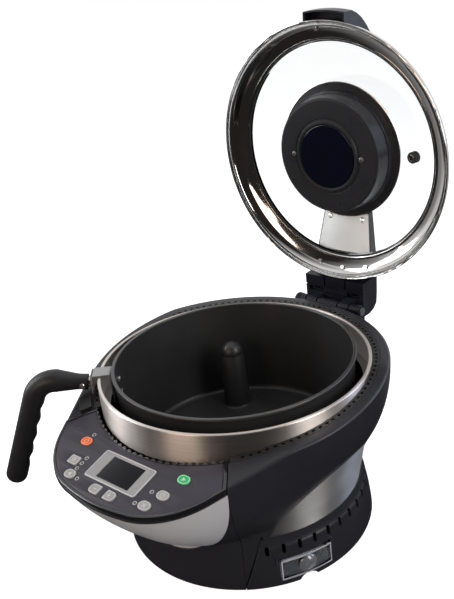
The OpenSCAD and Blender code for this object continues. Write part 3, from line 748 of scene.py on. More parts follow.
def softened(node, width, material, segments=2, cutters=()):
    """A copy of a node's solid, cut if asked, with its sharp edges rounded. It stands for that node."""
    bm = bmesh.new()
    bm.from_mesh(nodes[node].data)
    bmesh.ops.remove_doubles(bm, verts=bm.verts, dist=0.003 * MM)
    if cutters:
        bm.verts.index_update()
        part = [tuple(v.co / MM) for v in bm.verts], [tuple(v.index for v in f.verts) for f in bm.faces]
        bm.clear()
        filled(bm, *carved([part], cutters))
    bmesh.ops.dissolve_limit(bm, angle_limit=math.radians(0.4), verts=bm.verts, edges=bm.edges)
    limit = math.radians(SOFT_CREASE)
    sharp = [e for e in bm.edges if len(e.link_faces) == 2 and e.calc_face_angle(0) > limit]
    bmesh.ops.bevel(
        bm, geom=sharp, offset=width * MM, offset_type="OFFSET", segments=segments, profile=0.5,
        affect="EDGES", clamp_overlap=True)
    body = nodes[node]["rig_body"]
    obj = shaped(node + "_soft", bm, [material], body, (node,), SOFT_CREASE)
    even = obj.modifiers.new("even_normals", "WEIGHTED_NORMAL")
    even.keep_sharp = True
    return obj


def dress(node, material):
    """Give a solid that stays as it is its finish."""
    nodes[node].data.materials.clear()
    nodes[node].data.materials.append(material)


SOFT_CREASE = 35
TO_SIDE = Matrix.Rotation(math.radians(90), 4, "Y")
FACE_DOWN = Matrix.Rotation(math.pi, 4, "X")
print("solid tools ready")

# %% [markdown]
# ## The body's shell
# The black housing is a soft, flaring bowl with a sloped deck. Arched windows are cut left and right, and
# it runs down into a leg at the front and one at the back. Its surface follows a few rules of angle and
# height, so it is lofted from slices round the axis, closer together where the legs turn in. Subdividing
# a rough cage would be quicker, but the window's crisp edge would soften.

# %% Rules of the body
DECK_INNER = 142.4
DECK_AXIS = 170.5
DECK_SLOPE = 0.108
DECK_TOP = 177
PANEL_AXIS = 182.25
PANEL_SLOPE = 0.25
PANEL_BACK = -83
EDGE_ROUND = 2.4
BODY_RADIUS = 152
NOSE_RADIUS = 198.75
NOSE_END = 11.14
CORNER_X = 23
CORNER_Y = 116.8
CORNER_ROUND = 80
CORNER_END = 31.95
FLANK_END = 63.9
CONE_LOW = 35
CONE_RADIUS = 115
CONE_SLOPE = 0.186
ARCH_TURN = 43.5
ARCH_LOW = 52
ARCH_CENTRE = 20
ARCH_RADIUS = 86
ARCH_WIDTH = 122
LEG_HALF = 102.9
LEG_STEEP = 4
LEG_TOP = 56
LEG_FOOT = 1.5
LEG_RADIUS = 121.5
FOOT_RADIUS = 127
FOOT_FLARE = 6.5
KNEE = 62
POD_HALF = 37
POD_TOP = 150
POD_DEPTH = 113.3


def fold(a):
    """Angle from the front, 0 at the panel and 180 at the hinge."""
    return abs(((a + 990) % 360) - 180)


def deck_height(y):
    """Height of the deck, and of the steeper panel in front."""
    if y < PANEL_BACK:
        return PANEL_AXIS + PANEL_SLOPE * y
    return min(DECK_AXIS + DECK_SLOPE * y, DECK_TOP)


def outline_radius(b):
    """Outline of the deck in plan: round behind, straight flanks, a wide round front."""
    reach = CORNER_X * sind(b) + CORNER_Y * cosd(b)
    if b < NOSE_END:
        return NOSE_RADIUS
    if b < CORNER_END:
        return reach + math.sqrt(reach ** 2 - CORNER_X ** 2 - CORNER_Y ** 2 + CORNER_ROUND ** 2)
    return BODY_RADIUS / cosd(FLANK_END - b) if b < FLANK_END else BODY_RADIUS


def cone_radius(z):
    """The steel band's cone."""
    return CONE_RADIUS + CONE_SLOPE * (z - CONE_LOW)


def edge_height(a):
    """Lower edge of the housing: an arch at each side, a leg in front and behind."""
    across = abs(sind(a))
    if across < sind(ARCH_TURN):
        return max(ARCH_LOW, ARCH_CENTRE + math.sqrt(max(0, ARCH_RADIUS ** 2 - (ARCH_WIDTH * across) ** 2)))
    return min(LEG_TOP, max(LEG_FOOT, LEG_STEEP * (LEG_HALF - FOOT_RADIUS * across)))


def pod_edge(a):
    """Lower edge of the silver pod."""
    u = min(1, fold(a) / POD_HALF)
    return POD_TOP - POD_DEPTH * (1 - u ** 2.5) ** 0.4


def leg_radius(z):
    """Outer face of the legs, which flare towards the table."""
    return LEG_RADIUS + FOOT_FLARE * (max(0, KNEE - z) / KNEE) ** 1.5


def wall_radius(a, z):
    """Outer face of housing, legs and pod."""
    b = fold(a)
    top = outline_radius(b)
    crest = deck_height(top * sind(a))
    front = cosd(2 * b) if b < 45 else 0
    knee = max(KNEE - 20 * front, min(edge_height(a), 110))
    knee_radius = cone_radius(knee) + 1.3 if knee > KNEE else leg_radius(knee)
    if z >= crest:
        return top
    if z < knee:
        return leg_radius(z)
    swell = 1 - ((crest - z) / (crest - knee)) ** (2.1 - 0.65 * front)
    return knee_radius + (top - knee_radius) * swell


def inner_radius(a, z, thick):
    """Inner face, which keeps clear of the steel band."""
    inside = wall_radius(a, z) - thick
    return inside if z > 120 or z < 44 else max(inside, cone_radius(z) + 0.5)


def around(a, profile):
    """Profile points (radius, height) set up at an angle."""
    return [(r * cosd(a), r * sind(a), z) for r, z in profile]


def deck_point(a, r, depth=0.0):
    """A profile point on the deck or at a depth below it."""
    return r, deck_height(r * sind(a)) - depth


def evenly(first, last, count):
    """Values in a number of equal steps, both ends included."""
    return [first + (last - first) * k / count for k in range(count + 1)]


def stepped(first, last, step):
    """Values about one step apart, both ends included."""
    return evenly(first, last, max(1, round((last - first) / step)))


print("deck outline:", [round(outline_radius(b), 1) for b in (0, 25, 45, 90)])

# %% [markdown]
# Each slice of the housing starts at the deck's inner edge, runs over the rounded rim, down the wall to
# the lower edge and back up the inside. A thin sheet with a Solidify modifier would be shorter to write,
# but then the inside could not keep clear of the steel band. In front, a shallow tray carries the panel.

# %% Housing
def housing_slice(a):
    """One slice from the deck's inner edge over the rim, down the wall and up the inside."""
    top = outline_radius(fold(a))
    crest = deck_height(top * sind(a))
    low = edge_height(a)
    run = [deck_point(a, DECK_INNER + (top - EDGE_ROUND - DECK_INNER) * k / 6) for k in range(7)]
    bend = [(top - EDGE_ROUND * (1 - sind(q)), crest - EDGE_ROUND * (1 - cosd(q))) for q in (20, 40, 60, 80)]
    start = crest - EDGE_ROUND
    wall = [(wall_radius(a, z), z) for z in evenly(start, low + 0.7, 30)]
    foot = wall_radius(a, low)
    lip = [(foot - 0.2, low + 0.2), (foot - 0.8, low)]
    inside = [(max(inner_radius(a, z, 3.5), 1), z) for z in evenly(low, crest - 4, 12)]
    return run + bend + wall + lip + inside + [deck_point(a, DECK_INNER, 4)]


def tray_slice(a):
    """One slice of the shallow tray that carries the panel."""
    top = outline_radius(fold(a))
    crest = deck_height(top * sind(a))
    seat = [deck_point(a, r, d) for r, d in (
        (138, 4.7), (141, 4.7), (141.5, 20), (top - 19, 14), (top - 9.5, 6.3), (top - 4, 4.7))]
    rim = [(top, crest - 4.7), (top, crest - 5.3), (top - 0.3, crest - 6.1)]
    under = [deck_point(a, r, d) for r, d in ((top - 10, 9.6), (top - 18, 17.5), (138, 24.5))]
    return seat + rim + under


HOUSING_START = -52.9
HOUSING_SPANS = [
    (HOUSING_START, -43, 0.35), (-43, 43, 1.5), (43, 55, 0.4), (55, 125, 1.5), (125, 137, 0.4),
    (137, 223, 1.5), (223, 232.9, 0.35)]
housing_angles = [HOUSING_START]
for first, last, step in HOUSING_SPANS:
    housing_angles += stepped(first, last, step)[1:]
slices = [around(a, housing_slice(a)) for a in housing_angles]
tray = [around(a, tray_slice(a)) for a in stepped(233.1, 306.9, 1.5)]
housing = piece(
    "housing_shell", [lofted(slices), lofted(tray)], [satin_black], "base", ["housing"],
    crease=40)
print("housing_shell:", len(housing.data.polygons), "faces")

# %% [markdown]
# The silver pod under the panel and the black leg below it lie in the same surface. Both are strips of it
# between two edges, with slices bunched towards the sides, where the pod's edge turns upwards. One shell
# could be cut in two instead, but a cut along such a shallow curve can leave slivers.

# %% Pod and front leg
STRIP_HALF = 36.9
SEAM_HALF = 0.25
SHELL = 2.5


def wall_strip(high, low, thick, count=96):
    """A shell that follows the body's surface between two edges given by angle."""
    rings = []
    for k in range(count + 1):
        a = 270 + STRIP_HALF * sind(90 * (2 * k / count - 1))
        top = high(a)
        end = low(a)
        outer = [(wall_radius(a, z), z) for z in evenly(top - 0.6, end + 0.6, 26)]
        upper = [(wall_radius(a, top) - 0.7, top), (wall_radius(a, top) - 0.2, top - 0.15)]
        lower = [(wall_radius(a, end) - 0.2, end + 0.15), (wall_radius(a, end) - 0.7, end)]
        inner = [(inner_radius(a, z, thick), z) for z in evenly(end, top, 8)]
        rings.append(around(a, upper + outer + lower + inner))
    return lofted(rings)


def pod_top(a):
    """Upper edge of the pod, below the tray's rim."""
    return deck_height(outline_radius(fold(a)) * sind(a)) - 6.3


pod_part = wall_strip(pod_top, lambda a: pod_edge(a) + SEAM_HALF, SHELL)
pod = piece("pod_shell", [pod_part], [silver_paint], "base", ["pod"], crease=50)
leg_part = wall_strip(lambda a: pod_edge(a) - SEAM_HALF, lambda a: LEG_FOOT, SHELL)
leg = piece("leg_shell", [leg_part], [satin_black], "base", ["front_leg"], crease=50)
print("pod_shell:", len(pod.data.polygons), "leg_shell:", len(leg.data.polygons), "faces")

# %% [markdown]
# ## The control panel
# The panel is flat and tilted towards the user. A charcoal film lies in a black bezel, and keys, lamps
# and the display come up through it. These are flat parts cut from outlines with real holes, then tilted
# into place: a texture could show them, but then the keys could not travel.

# %% Panel frame and film
TILT = math.atan(PANEL_SLOPE)
PANEL_Y = -150.0
PANEL = Matrix.Translation((0, PANEL_Y, deck_height(PANEL_Y))) @ Matrix.Rotation(TILT, 4, "X")
KEYS = {
    "key_power": (-59.3, -147.7, "oval"), "key_start": (61.3, -144.1, "oval"),
    "key_menu": (-53.2, -169.4, "square"), "key_left": (-44, -183, "oval"),
    "key_minus": (-7.2, -185.4, "left"), "key_plus": (10.2, -185.4, "right"),
    "key_timer": (55.6, -164.8, "oval"), "key_cancel": (47.8, -179.8, "oval")}
LAMPS = [(-58.7, -138.6), (-43.2, -162.8), (-43.2, -169.2), (-43.2, -175.4), (-33.6, -184.1), (43.2, -165.6),
         (37.4, -181)]


def on_panel(x, y):
    """Plan coordinates as panel coordinates, measured along the slope."""
    return x, (y - PANEL_Y) / math.cos(TILT)


def panel_outline(gap, half_angle, inner, teeth=0.0):
    """Outline of the panel: the deck's front edge less a gap, closed along a circle round the pot."""
    outer = [(outline_radius(abs(k)) - gap, k) for k in stepped(-half_angle, half_angle, 1.0)]
    closing = []
    for k in stepped(half_angle, -half_angle, -0.75):
        notch = teeth if round((k + half_angle) / 0.75) % 4 in (1, 2) else 0.0
        closing.append((inner + notch, k))
    return [on_panel(r * sind(k), -r * cosd(k)) for r, k in outer + closing]


def key_outline(kind, grow=0.0):
    """Outline of a key about its own centre."""
    if kind == "oval":
        return oval(13 + 2 * grow, 9.6 + 2 * grow)
    if kind == "square":
        w = 6 + grow
        h = 4.8 + grow
        return rounded_box(-w, -h, w, h, 1.2)
    side = -1 if kind == "left" else 1
    h = 5 + grow
    corners = [(-5 - grow, -h, 1), (7 + grow, -h, 4.9), (7 + grow, h, 4.9), (-5 - grow, h, 1)]
    return [(side * x, y) for x, y in rounded(corners)]


def shifted(outline, x, y):
    """An outline moved to a place given in plan."""
    dx, dy = on_panel(x, y)
    return [(u + dx, v + dy) for u, v in outline]


KEY_GAP = 0.4
holes = [shifted(key_outline(kind, KEY_GAP), x, y) for x, y, kind in KEYS.values()]
holes += [shifted(circle(1.5, 24), x, y) for x, y in LAMPS]
film_part = moved(flat([panel_outline(3.4, 35.5, 140.9), *holes], -1.4, 0, 0.2), PANEL)
film = piece("film_sheet", [film_part], [charcoal_film], "base", ["panel_film"])
bezel_edge = panel_outline(0.3, 36.8, 138.2, 1.8)
bezel_rim = moved(flat([bezel_edge, panel_outline(3.1, 35.7, 140.7)], -1.6, 0.45, 0.6), PANEL)
bezel_bed = moved(flat([bezel_edge, *holes], -4.4, -1.5, 0.05), PANEL)
bezel = piece("bezel_frame", [bezel_rim, bezel_bed], [gloss_black], "base", ["panel_bezel"])
print("film_sheet:", len(film.data.polygons), "bezel_frame:", len(bezel.data.polygons), "faces")

# %% [markdown]
# Each key is a cap with a rounded edge that stands a millimetre above the film, with a pale outline and a
# plain sign in thin relief. Painted signs would be easier, but relief stays crisp close up and travels
# with the key.

# %% Keys and their signs
def at_key(x, y):
    """Matrix that puts a key's own outline on the panel."""
    return PANEL @ Matrix.Translation((*on_panel(x, y), 0))


def ring(outer, inner, steps=28):
    """The two outlines of a flat ring."""
    return [circle(outer, steps), circle(inner, steps)]


def open_ring(outer, inner, gap):
    """A ring with a gap at the top."""
    sweep = stepped(90 + gap, 450 - gap, 12)
    rim = [(outer * cosd(a), outer * sind(a)) for a in sweep]
    return [rim + [(inner * cosd(a), inner * sind(a)) for a in reversed(sweep)]]


SIGNS = {
    "key_power": [open_ring(2.5, 1.9, 35), [bar(0.6, 2.4, 0, 1.9)]],
    "key_start": [[[(-1.5, -2.1), (2.3, 0), (-1.5, 2.1)]]],
    "key_menu": [[bar(5, 0.6, 0, y)] for y in (-1.6, 0, 1.6)],
    "key_left": [[[(1.6, -2.2), (1.6, 2.2), (-2.2, 0)]]],
    "key_minus": [[bar(4, 0.8)]],
    "key_plus": [[bar(4, 0.8)], [bar(0.8, 1.6, 0, 1.2)], [bar(0.8, 1.6, 0, -1.2)]],
    "key_timer": [ring(2.6, 2.05), [bar(0.5, 1.6, 0, 0.7)], [bar(1.3, 0.5, 0.5, 0)]],
    "key_cancel": [[bar(5, 0.8, 0, 0, 45)]] + [[bar(2.1, 0.8, -s, s, -45)] for s in (1.04, -1.04)]}
KEY_COLORS = {
    "key_power": (orange_key, orange_pale, "orange_key"), "key_start": (green_key, green_pale, "green_key")}
KEY_RISE = 1.0
for name, (x, y, kind) in KEYS.items():
    face, pale, slot = KEY_COLORS.get(name, (grey_key, grey_pale, "grey_key"))
    spot = at_key(x, y)
    cap = flat([key_outline(kind)], -3.6, KEY_RISE, 0.45)
    line = flat([key_outline(kind, -0.55), key_outline(kind, -1.25)], KEY_RISE - 0.2, KEY_RISE + 0.1, 0.05)
    signs = [flat(shape, KEY_RISE - 0.2, KEY_RISE + 0.12, 0.05) for shape in SIGNS[name]]
    piece(name + "_cap", [moved(cap, spot)], [face], name, [name])
    piece(name + "_mark", [moved(part, spot) for part in [line, *signs]], [pale], name)
print("keys:", len(KEYS))

# %% [markdown]
# The display is a smoked window in a silver frame, and each indicator is a tiny dark lens in a pale ring.
# The frame is a flat part with an opening. The lenses are turned, since a painted dot would catch no
# light.

# %% Display and lamps
DISPLAY_AT = (1, -162.5)
frame_outline = rounded_box(-32, -16.25, 32, 16.25, 3)
opening = rounded_box(-19, -12.5, 21, 12.5, 0.6)
pane = rounded_box(-18.8, -12.3, 20.8, 12.3, 0.5)
spot = at_key(*DISPLAY_AT)
surround = moved(flat([frame_outline, opening], 0.05, 0.95, 0.3), spot)
piece("display_surround", [surround], [frame_silver], "base", ["display_frame"])
edge_line = moved(flat([inset(frame_outline, 0.5), inset(frame_outline, 1.3)], 0.9, 1.02, 0.05), spot)
piece("display_outline", [edge_line], [grey_pale], "base")
window = moved(flat([pane], 0.05, 0.62, 0.15), spot)
piece("display_pane", [window], [display_glass], "base", ["display_window"])
lens_profile = [(0, -1.4), (1.3, -1.4), (1.3, 0.1), (1.0, 0.35), (0.55, 0.45), (0, 0.48)]
lenses = [moved(turned(lens_profile, 24), at_key(x, y)) for x, y in LAMPS]
piece("lamp_lenses", lenses, [lamp_lens], "base", ["indicator_leds"])
rings = [moved(flat(ring(2.0, 1.52), -0.1, 0.1, 0.04), at_key(x, y)) for x, y in LAMPS]
piece("lamp_rings", rings, [grey_pale], "base")
print("lamps:", len(LAMPS))

# %% [markdown]
# ## Ring, band and pot
# The stainless ring that frames the pot's well is rolled over at its top. The band is the cone that shows
# in the side windows. Both are round, so a profile of each is turned about the axis, in steps small
# enough that no facet shows in the steel.

# %% Ring and band
BAND_LOW = 46
BAND_HIGH = 118
BAND_SHEET = 0.8
ring_profile = rounded([
    (133.6, 146, 0), (135, 146, 0.2), (135, 177.2, 1.3), (131.4, 177.3, 0.9), (131.5, 174.8, 0.3),
    (133.6, 174.8, 0.6)])
ring_part = turned(ring_profile, 240)
piece("ring_wall", [ring_part], [brushed_steel], "base", ["steel_ring"], crease=30)
band_outside = [(cone_radius(z), z) for z in (BAND_LOW, BAND_HIGH)]
band_back = [(r - BAND_SHEET, z) for r, z in band_outside]
cone_part = turned([band_back[0], *band_outside, band_back[1]], 240)
piece("band_cone", [cone_part], [band_steel], "base", ["steel_band"])
print("ring and band turned")

# %% [markdown]
# The pot is drawn from sheet aluminium: a wall that leans out slightly, a round floor corner, a lip, and
# a hollow post for the probe. Nearly all of it is turned. Only the floor needs care, since the post
# stands off centre: it is a disc with a hole that the post's foot fills.

# %% Pot
POST = (-58, 61)
POST_FOOT = 17.5
POST_HOLE = 12.5
POST_SIDES = 48
POT_FLOOR = 80.0
POT_BASE = 77.4
FLAT_RADIUS = 100.0
SIDES = 216
pot_wall = rounded([
    (FLAT_RADIUS, POT_BASE, 0), (113.6, POT_BASE, 13), (118.9, 179.6, 1.2), (120.5, 181.3, 0.8)], 8)[:-4]
pot_lip = rounded([
    (119.3, 180.2, 0.5), (120.5, 181.0, 0.6), (120.5, 183.6, 0.9), (117.1, 183.6, 0.7), (117.0, 182, 0)])
pot_inside = rounded([(117.0, 182, 0), (111.4, POT_FLOOR, 13), (FLAT_RADIUS, POT_FLOOR, 0)], 10)


def spun(profile, x=0.0, y=0.0, sides=SIDES):
    """Points and faces of an open profile spun about an upright axis."""
    return lofted([[(*p, z) for p in circle(r, sides, x, y)] for r, z in profile], caps=False)


def floor_disc(z, hole):
    """The pot's flat floor at one height, with a hole where the post stands."""
    outer = circle(FLAT_RADIUS, SIDES)
    inner = circle(hole, POST_SIDES, *POST)[::-1]
    points = [(*p, z) for p in outer + inner]
    triangles = tessellate_polygon([[Vector((*p, z)) for p in loop] for loop in (outer, inner)])
    return points, [tuple(t) for t in triangles]


post_outside = [
    (POST_FOOT, POT_FLOOR), (16.2, 80.4), (15.2, 81.6), (14.8, 83.5), (11.9, 140.2), (11.5, 141),
    (11.5, 141.6), (11.8, 142.2)]
post_outside += [(11.7 * cosd(q), 142.6 + 11.6 * sind(q)) for q in evenly(10, 82, 6)] + [(0.01, 154.2)]
post_inside = [(POST_HOLE, POT_BASE), (8.9, 141)]
post_inside += [(8.9 * cosd(q), 141 + 8.9 * sind(q)) for q in (30, 60)] + [(0.01, 149.9)]
pot_parts = [
    spun(pot_wall), spun(pot_inside), floor_disc(POT_FLOOR, POST_FOOT), floor_disc(POT_BASE, POST_HOLE),
    spun(post_outside, *POST, POST_SIDES), spun(post_inside, *POST, POST_SIDES), (*spun(pot_lip), 1)]
pot = piece(
    "pot_shell", pot_parts, [nonstick, bare_lip_and_highlight], "pot", ["pot"], crease=45, weld=0.03)
print("pot_shell:", len(pot.data.polygons), "faces")

# %% [markdown]
# The pot's handle hooks over the ring with a bent steel strap and curves down into a moulded grip with
# finger scallops. A curve with a round bevel would bend as well, but in a loft each ring can have its own
# radius, so the scallops are pressed into the inner side.

# %% Pot handle
HANDLE = Matrix.Rotation(math.radians(-139), 4, "Z")
UPRIGHT = Matrix(((1, 0, 0, 0), (0, 0, -1, 0), (0, 1, 0, 0), (0, 0, 0, 1)))
FACE_OUT = Matrix(((0, 0, 1, 0), (1, 0, 0, 0), (0, 1, 0, 0), (0, 0, 0, 1)))
NECK_RADIUS = 8.4
NECK_RISE = 8.93
GRIP_RADIUS = 11.5
GRIP_SLIM = 0.4
GRIP_LENGTH = 105
GRIP_TOP = (202.95, 158.79)
GRIP_END = 9
SLANT = 22.0
BEND_CENTRE = (180.7, 149.8)
BEND_RADIUS = 24
BEND_START = 98.93


def neck_station(t):
    """Distance out, height, heading, radius and scallop along the neck."""
    waist = 0.5 * sind(180 * min(1, t / 0.6))
    flare = (GRIP_RADIUS - NECK_RADIUS) * max(0, (t - 0.3) / 0.7) ** 1.5
    return 143 + 34 * t, 168.15 + 5.35 * t, NECK_RISE, NECK_RADIUS - waist + flare, 0


def bend_station(f):
    """The same on the bend, which slims towards the grip."""
    radius = GRIP_RADIUS - GRIP_SLIM * (BEND_START - f) / (BEND_START - SLANT)
    out, high = BEND_CENTRE
    return out + BEND_RADIUS * cosd(f), high + BEND_RADIUS * sind(f), f - 90, radius, 0


def grip_station(q, shrink=0.0, scallop=0.0):
    """The same on the straight grip."""
    out, high = GRIP_TOP
    radius = GRIP_RADIUS - GRIP_SLIM - shrink
    return out + sind(SLANT) * q, high - cosd(SLANT) * q, SLANT - 90, radius, scallop


stations = [(146.2, 168.65, NECK_RISE, 7.4, 0), (146.4, 168.7, NECK_RISE, 8.1, 0)]
stations += [neck_station(t) for t in stepped(0.12, 0.97, 0.07)]
stations += [bend_station(f) for f in stepped(BEND_START, SLANT, -3.5)]
for q in stepped(2, GRIP_LENGTH - GRIP_END, 1.5):
    stations.append(grip_station(q, 0, 0.9 - 0.9 * cosd(18 * (q - 4)) if 4 < q < 84 else 0))
for q in (15, 30, 45, 60, 72, 82, 88):
    reach = GRIP_LENGTH - GRIP_END + GRIP_END * sind(q)
    stations.append(grip_station(reach, GRIP_END - GRIP_END * cosd(q)))
grip_rings = []
for out, high, heading, radius, scallop in stations:
    ring_points = []
    for p in stepped(0, 350, 10):
        r = radius - scallop * max(0, -cosd(p)) ** 1.5
        lean = r * cosd(p)
        ring_points.append((out - lean * sind(heading), -r * sind(p), high + lean * cosd(heading)))
    grip_rings.append(ring_points)
grip_part = moved(lofted(grip_rings), HANDLE)
grip = piece("grip_shell", [grip_part], [grip_black], "pot", ["pot_grip"])
strap_outline = rounded([
    (121.3, 147, 0.3), (121.3, 178.8, 3.2), (141.5, 178.8, 3.2), (141.5, 162.6, 0.3), (140.3, 162.6, 0.3),
    (140.3, 177.6, 2.2), (122.5, 177.6, 2.2), (122.5, 147, 0.3)])
strap = moved(flat([strap_outline], -9, 9, 0.3), HANDLE @ UPRIGHT)
plate_outline = rounded([(-9.8, 160, 1), (9.8, 160, 1), (9.8, 178.7, 2), (-9.8, 178.7, 2)])
plate_place = HANDLE @ Matrix.Translation((141.3, 0, 0)) @ FACE_OUT
side_plate = moved(flat([plate_outline], 0, 0.9, 0.2), plate_place)
piece("handle_strap", [strap, side_plate], [plate_silver], "pot", ["pot_bracket"])
stub_profile = rounded([(0, 0, 0), (4.6, 0, 0), (4.6, 5.6, 0.5), (0, 5.6, 0)], 3)
stub_place = HANDLE @ Matrix.Translation((141.6, 0, 168)) @ Matrix.Rotation(math.radians(81), 4, "Y")
piece("grip_stub", [moved(turned(stub_profile, 48), stub_place)], [bright_steel], "pot")
print("grip_shell:", len(grip.data.polygons), "faces")

# %% [markdown]
# ## The lid
# The lid is a clear glass dome in a polished steel rim, with a black hub in its middle and an arm that
# carries it to the hinge. Its round parts are turned about the lid's own axis and then swung open with
# the frame, so each is written as if the lid lay flat.

# %% Rim, glass and hub
LID_CENTRE = Matrix.Translation((0, LID_AXIS_Y / MM, LID_AXIS_Z / MM))
LID = LID_CENTRE @ Matrix.Rotation(math.radians(-90), 4, "X")
GLASS_THICK = 4


def on_lid(name, profile, steps, material, stands_for=(), crease=35):
    """A piece turned about the lid's axis."""
    return piece(name, [moved(turned(profile, steps), LID)], [material], "lid", stands_for, crease)


def dome_height(r):
    """Underside of the glass."""
    return 35 - r * r / 756


hem_groove = rounded([
    (136.95, 0.5, 0), (136.5, 1.5, 0.2), (136.95, 1.9, 0.2), (136.4, 2.4, 0.2), (136.2, 3.4, 0)], 3)
outer_band = curve_through([(136.1, 3.8), (135.2, 6), (133.2, 8.7), (130.4, 11)], 6)
inner_band = curve_through([(129.9, 11.7), (125.6, 13.8), (120.3, 15.7)], 6)
glass_bead = rounded([
    (119.9, 15.7, 0), (119.4, 15.2, 0.3), (118.1, 15.3, 0.6), (117.1, 16.2, 0.5), (117, 17, 0)], 3)
under_side = hem_groove + outer_band + inner_band + glass_bead
upper_side = curve_through([(117, 18.5), (127, 15.6), (133.5, 11.3), (137.5, 5.8), (138.6, 0.6)], 7)
hem = [(137.75 + 0.85 * cosd(q), 0.6 + 0.85 * sind(q)) for q in (-30, -60, -90, -120, -150)]
rim_profile = under_side + upper_side + hem
on_lid("rim_shell", rim_profile, 300, polished_steel, ["lid_rim"], 30)
glass_profile = [(r, dome_height(r)) for r in stepped(9.4, 115.5, 4)]
glass_profile += [(r, z + GLASS_THICK) for r, z in reversed(glass_profile)]
glass_dome = on_lid("glass_dome", glass_profile, 240, glass, ["lid_glass"])
glass_dome.visible_shadow = False
hub_profile = rounded([
    (4.1, 2.3, 0), (34.3, 2.3, 0), (34.3, 0.2, 0.3), (35.2, -0.8, 0.6), (37.4, -0.8, 0.6), (38.6, 1.0, 0.5),
    (39.2, 1.7, 0.3), (40.2, 1.7, 0.3), (40.8, 1.0, 0.3), (59.2, 1.0, 0.5), (61.2, 2.6, 0.5),
    (63.6, 17.6, 0.4), (64.9, 18.2, 0.5), (65.8, 24.8, 0.5), (72.2, 25.3, 0.5), (73, 26.2, 0.4),
    (73, 27.6, 0.3), (64, 27.6, 0), (61.5, 24, 0), (57.5, 5.5, 0), (9, 5.5, 0), (8.8, 39.9, 0),
    (4.1, 39.9, 0)], 4)
on_lid("hub_shell", hub_profile, 180, hub_black, ["hub"], 30)
trim_profile = rounded([(72.4, 25.0, 0.3), (73.6, 25.2, 0.4), (73.7, 27.2, 0.4), (72.4, 27.2, 0.3)], 3)
on_lid("hub_trim", trim_profile, 180, bright_steel)
cap_profile = rounded([(0, -0.1, 0), (33.2, -0.3, 0.8), (34, 0.5, 0.5), (34, 2.2, 0), (0, 2.2, 0)], 4)
on_lid("cap_disc", cap_profile, 120, navy_gloss, ["hub_cap"])
print("lid turned")

# %% [markdown]
# Domed screws with six-sided sockets hold the hub and the arm, and a rubber grommet with a steel bush
# lets steam out through the glass. A head is lofted from rings, because the flat sides of its socket have
# to grow into a round dome. The grommet is turned.

# %% Screws and vent
def screw_head(radius, height):
    """A domed head with a six-sided socket, seated at height 0 and facing up."""
    turns = stepped(0, 350, 10)
    rings = []
    for r, z in ((0.34, height - 0.7), (0.40, height - 0.7), (0.42, height)):
        sides = [radius * r / cosd((a % 60) - 30) for a in turns]
        rings.append([(d * cosd(a), d * sind(a), z) for d, a in zip(sides, turns)])
    for q in (62, 50, 38, 26, 14, 0):
        d = radius * cosd(q) ** 0.8
        rings.append([(d * cosd(a), d * sind(a), height * sind(q) ** 0.9) for a in turns])
    return lofted(rings)


ARM_SLOPE = Matrix.Rotation(math.radians(-13.05), 4, "X") @ FACE_DOWN
hub_places = [LID @ Matrix.Translation((x, 0, 1.0)) @ FACE_DOWN for x in (-42, 42)]
hub_heads = [moved(screw_head(3.1, 1.5), place) for place in hub_places]
piece("hub_screw_heads", hub_heads, [dull_steel], "lid", ["hub_screws"])
arm_places = [LID @ Matrix.Translation((x, 77.7, 32.15)) @ ARM_SLOPE for x in (-21, 21)]
arm_heads = [moved(screw_head(3.2, 1.2), place) for place in arm_places]
piece("arm_screw_heads", arm_heads, [bright_steel], "lid", ["arm_screws"])
VENT = LID @ Matrix.Translation((88, 0, 24.76)) @ Matrix.Rotation(math.radians(13.1), 4, "Y")
vent_profile = rounded([
    (2, -2.0, 0.3), (2.8, -2.9, 0.4), (5.4, -2.6, 0.8), (6, -1.2, 0.5), (6, -0.5, 0.2), (4.2, -0.5, 0.2),
    (4.2, 4.5, 0.2), (6, 4.5, 0.4), (6, 6.5, 0.6), (2, 6.5, 0.3)], 4)
piece("vent_grommet", [moved(turned(vent_profile, 60), VENT)], [rubber], "lid", ["steam_vent"])
bush_profile = rounded([(2.1, -2.6, 0.2), (2.3, -3.2, 0.2), (3.5, -3.2, 0.3), (3.7, -2.6, 0.2)], 3)
piece("vent_bush", [moved(turned(bush_profile, 48), VENT)], [bright_steel], "lid")
print("screws and vent ready")

# %% [markdown]
# The arm's block and the hinge bracket start from their solids, which already have the right shape and
# place. Their edges are rounded, and a few pockets are cut into the face of the block that the camera
# sees. Thin ribs ring the hinge's ends.

# %% Arm, grip and hinge
BLOCK_FACE = 177.8
HINGE = Matrix.Translation((0, 166.5, 167.5)) @ TO_SIDE
PLATE_RUN = 45.2


def pocket(x0, x1, z0, z1, depth):
    """A cutter that sinks a rectangle into the front of the arm's block."""
    outline = [(x0, z0), (x1, z0), (x1, z1), (x0, z1)]
    return lofted([[(x, y, z) for x, z in outline] for y in (BLOCK_FACE - 2, BLOCK_FACE + depth)])


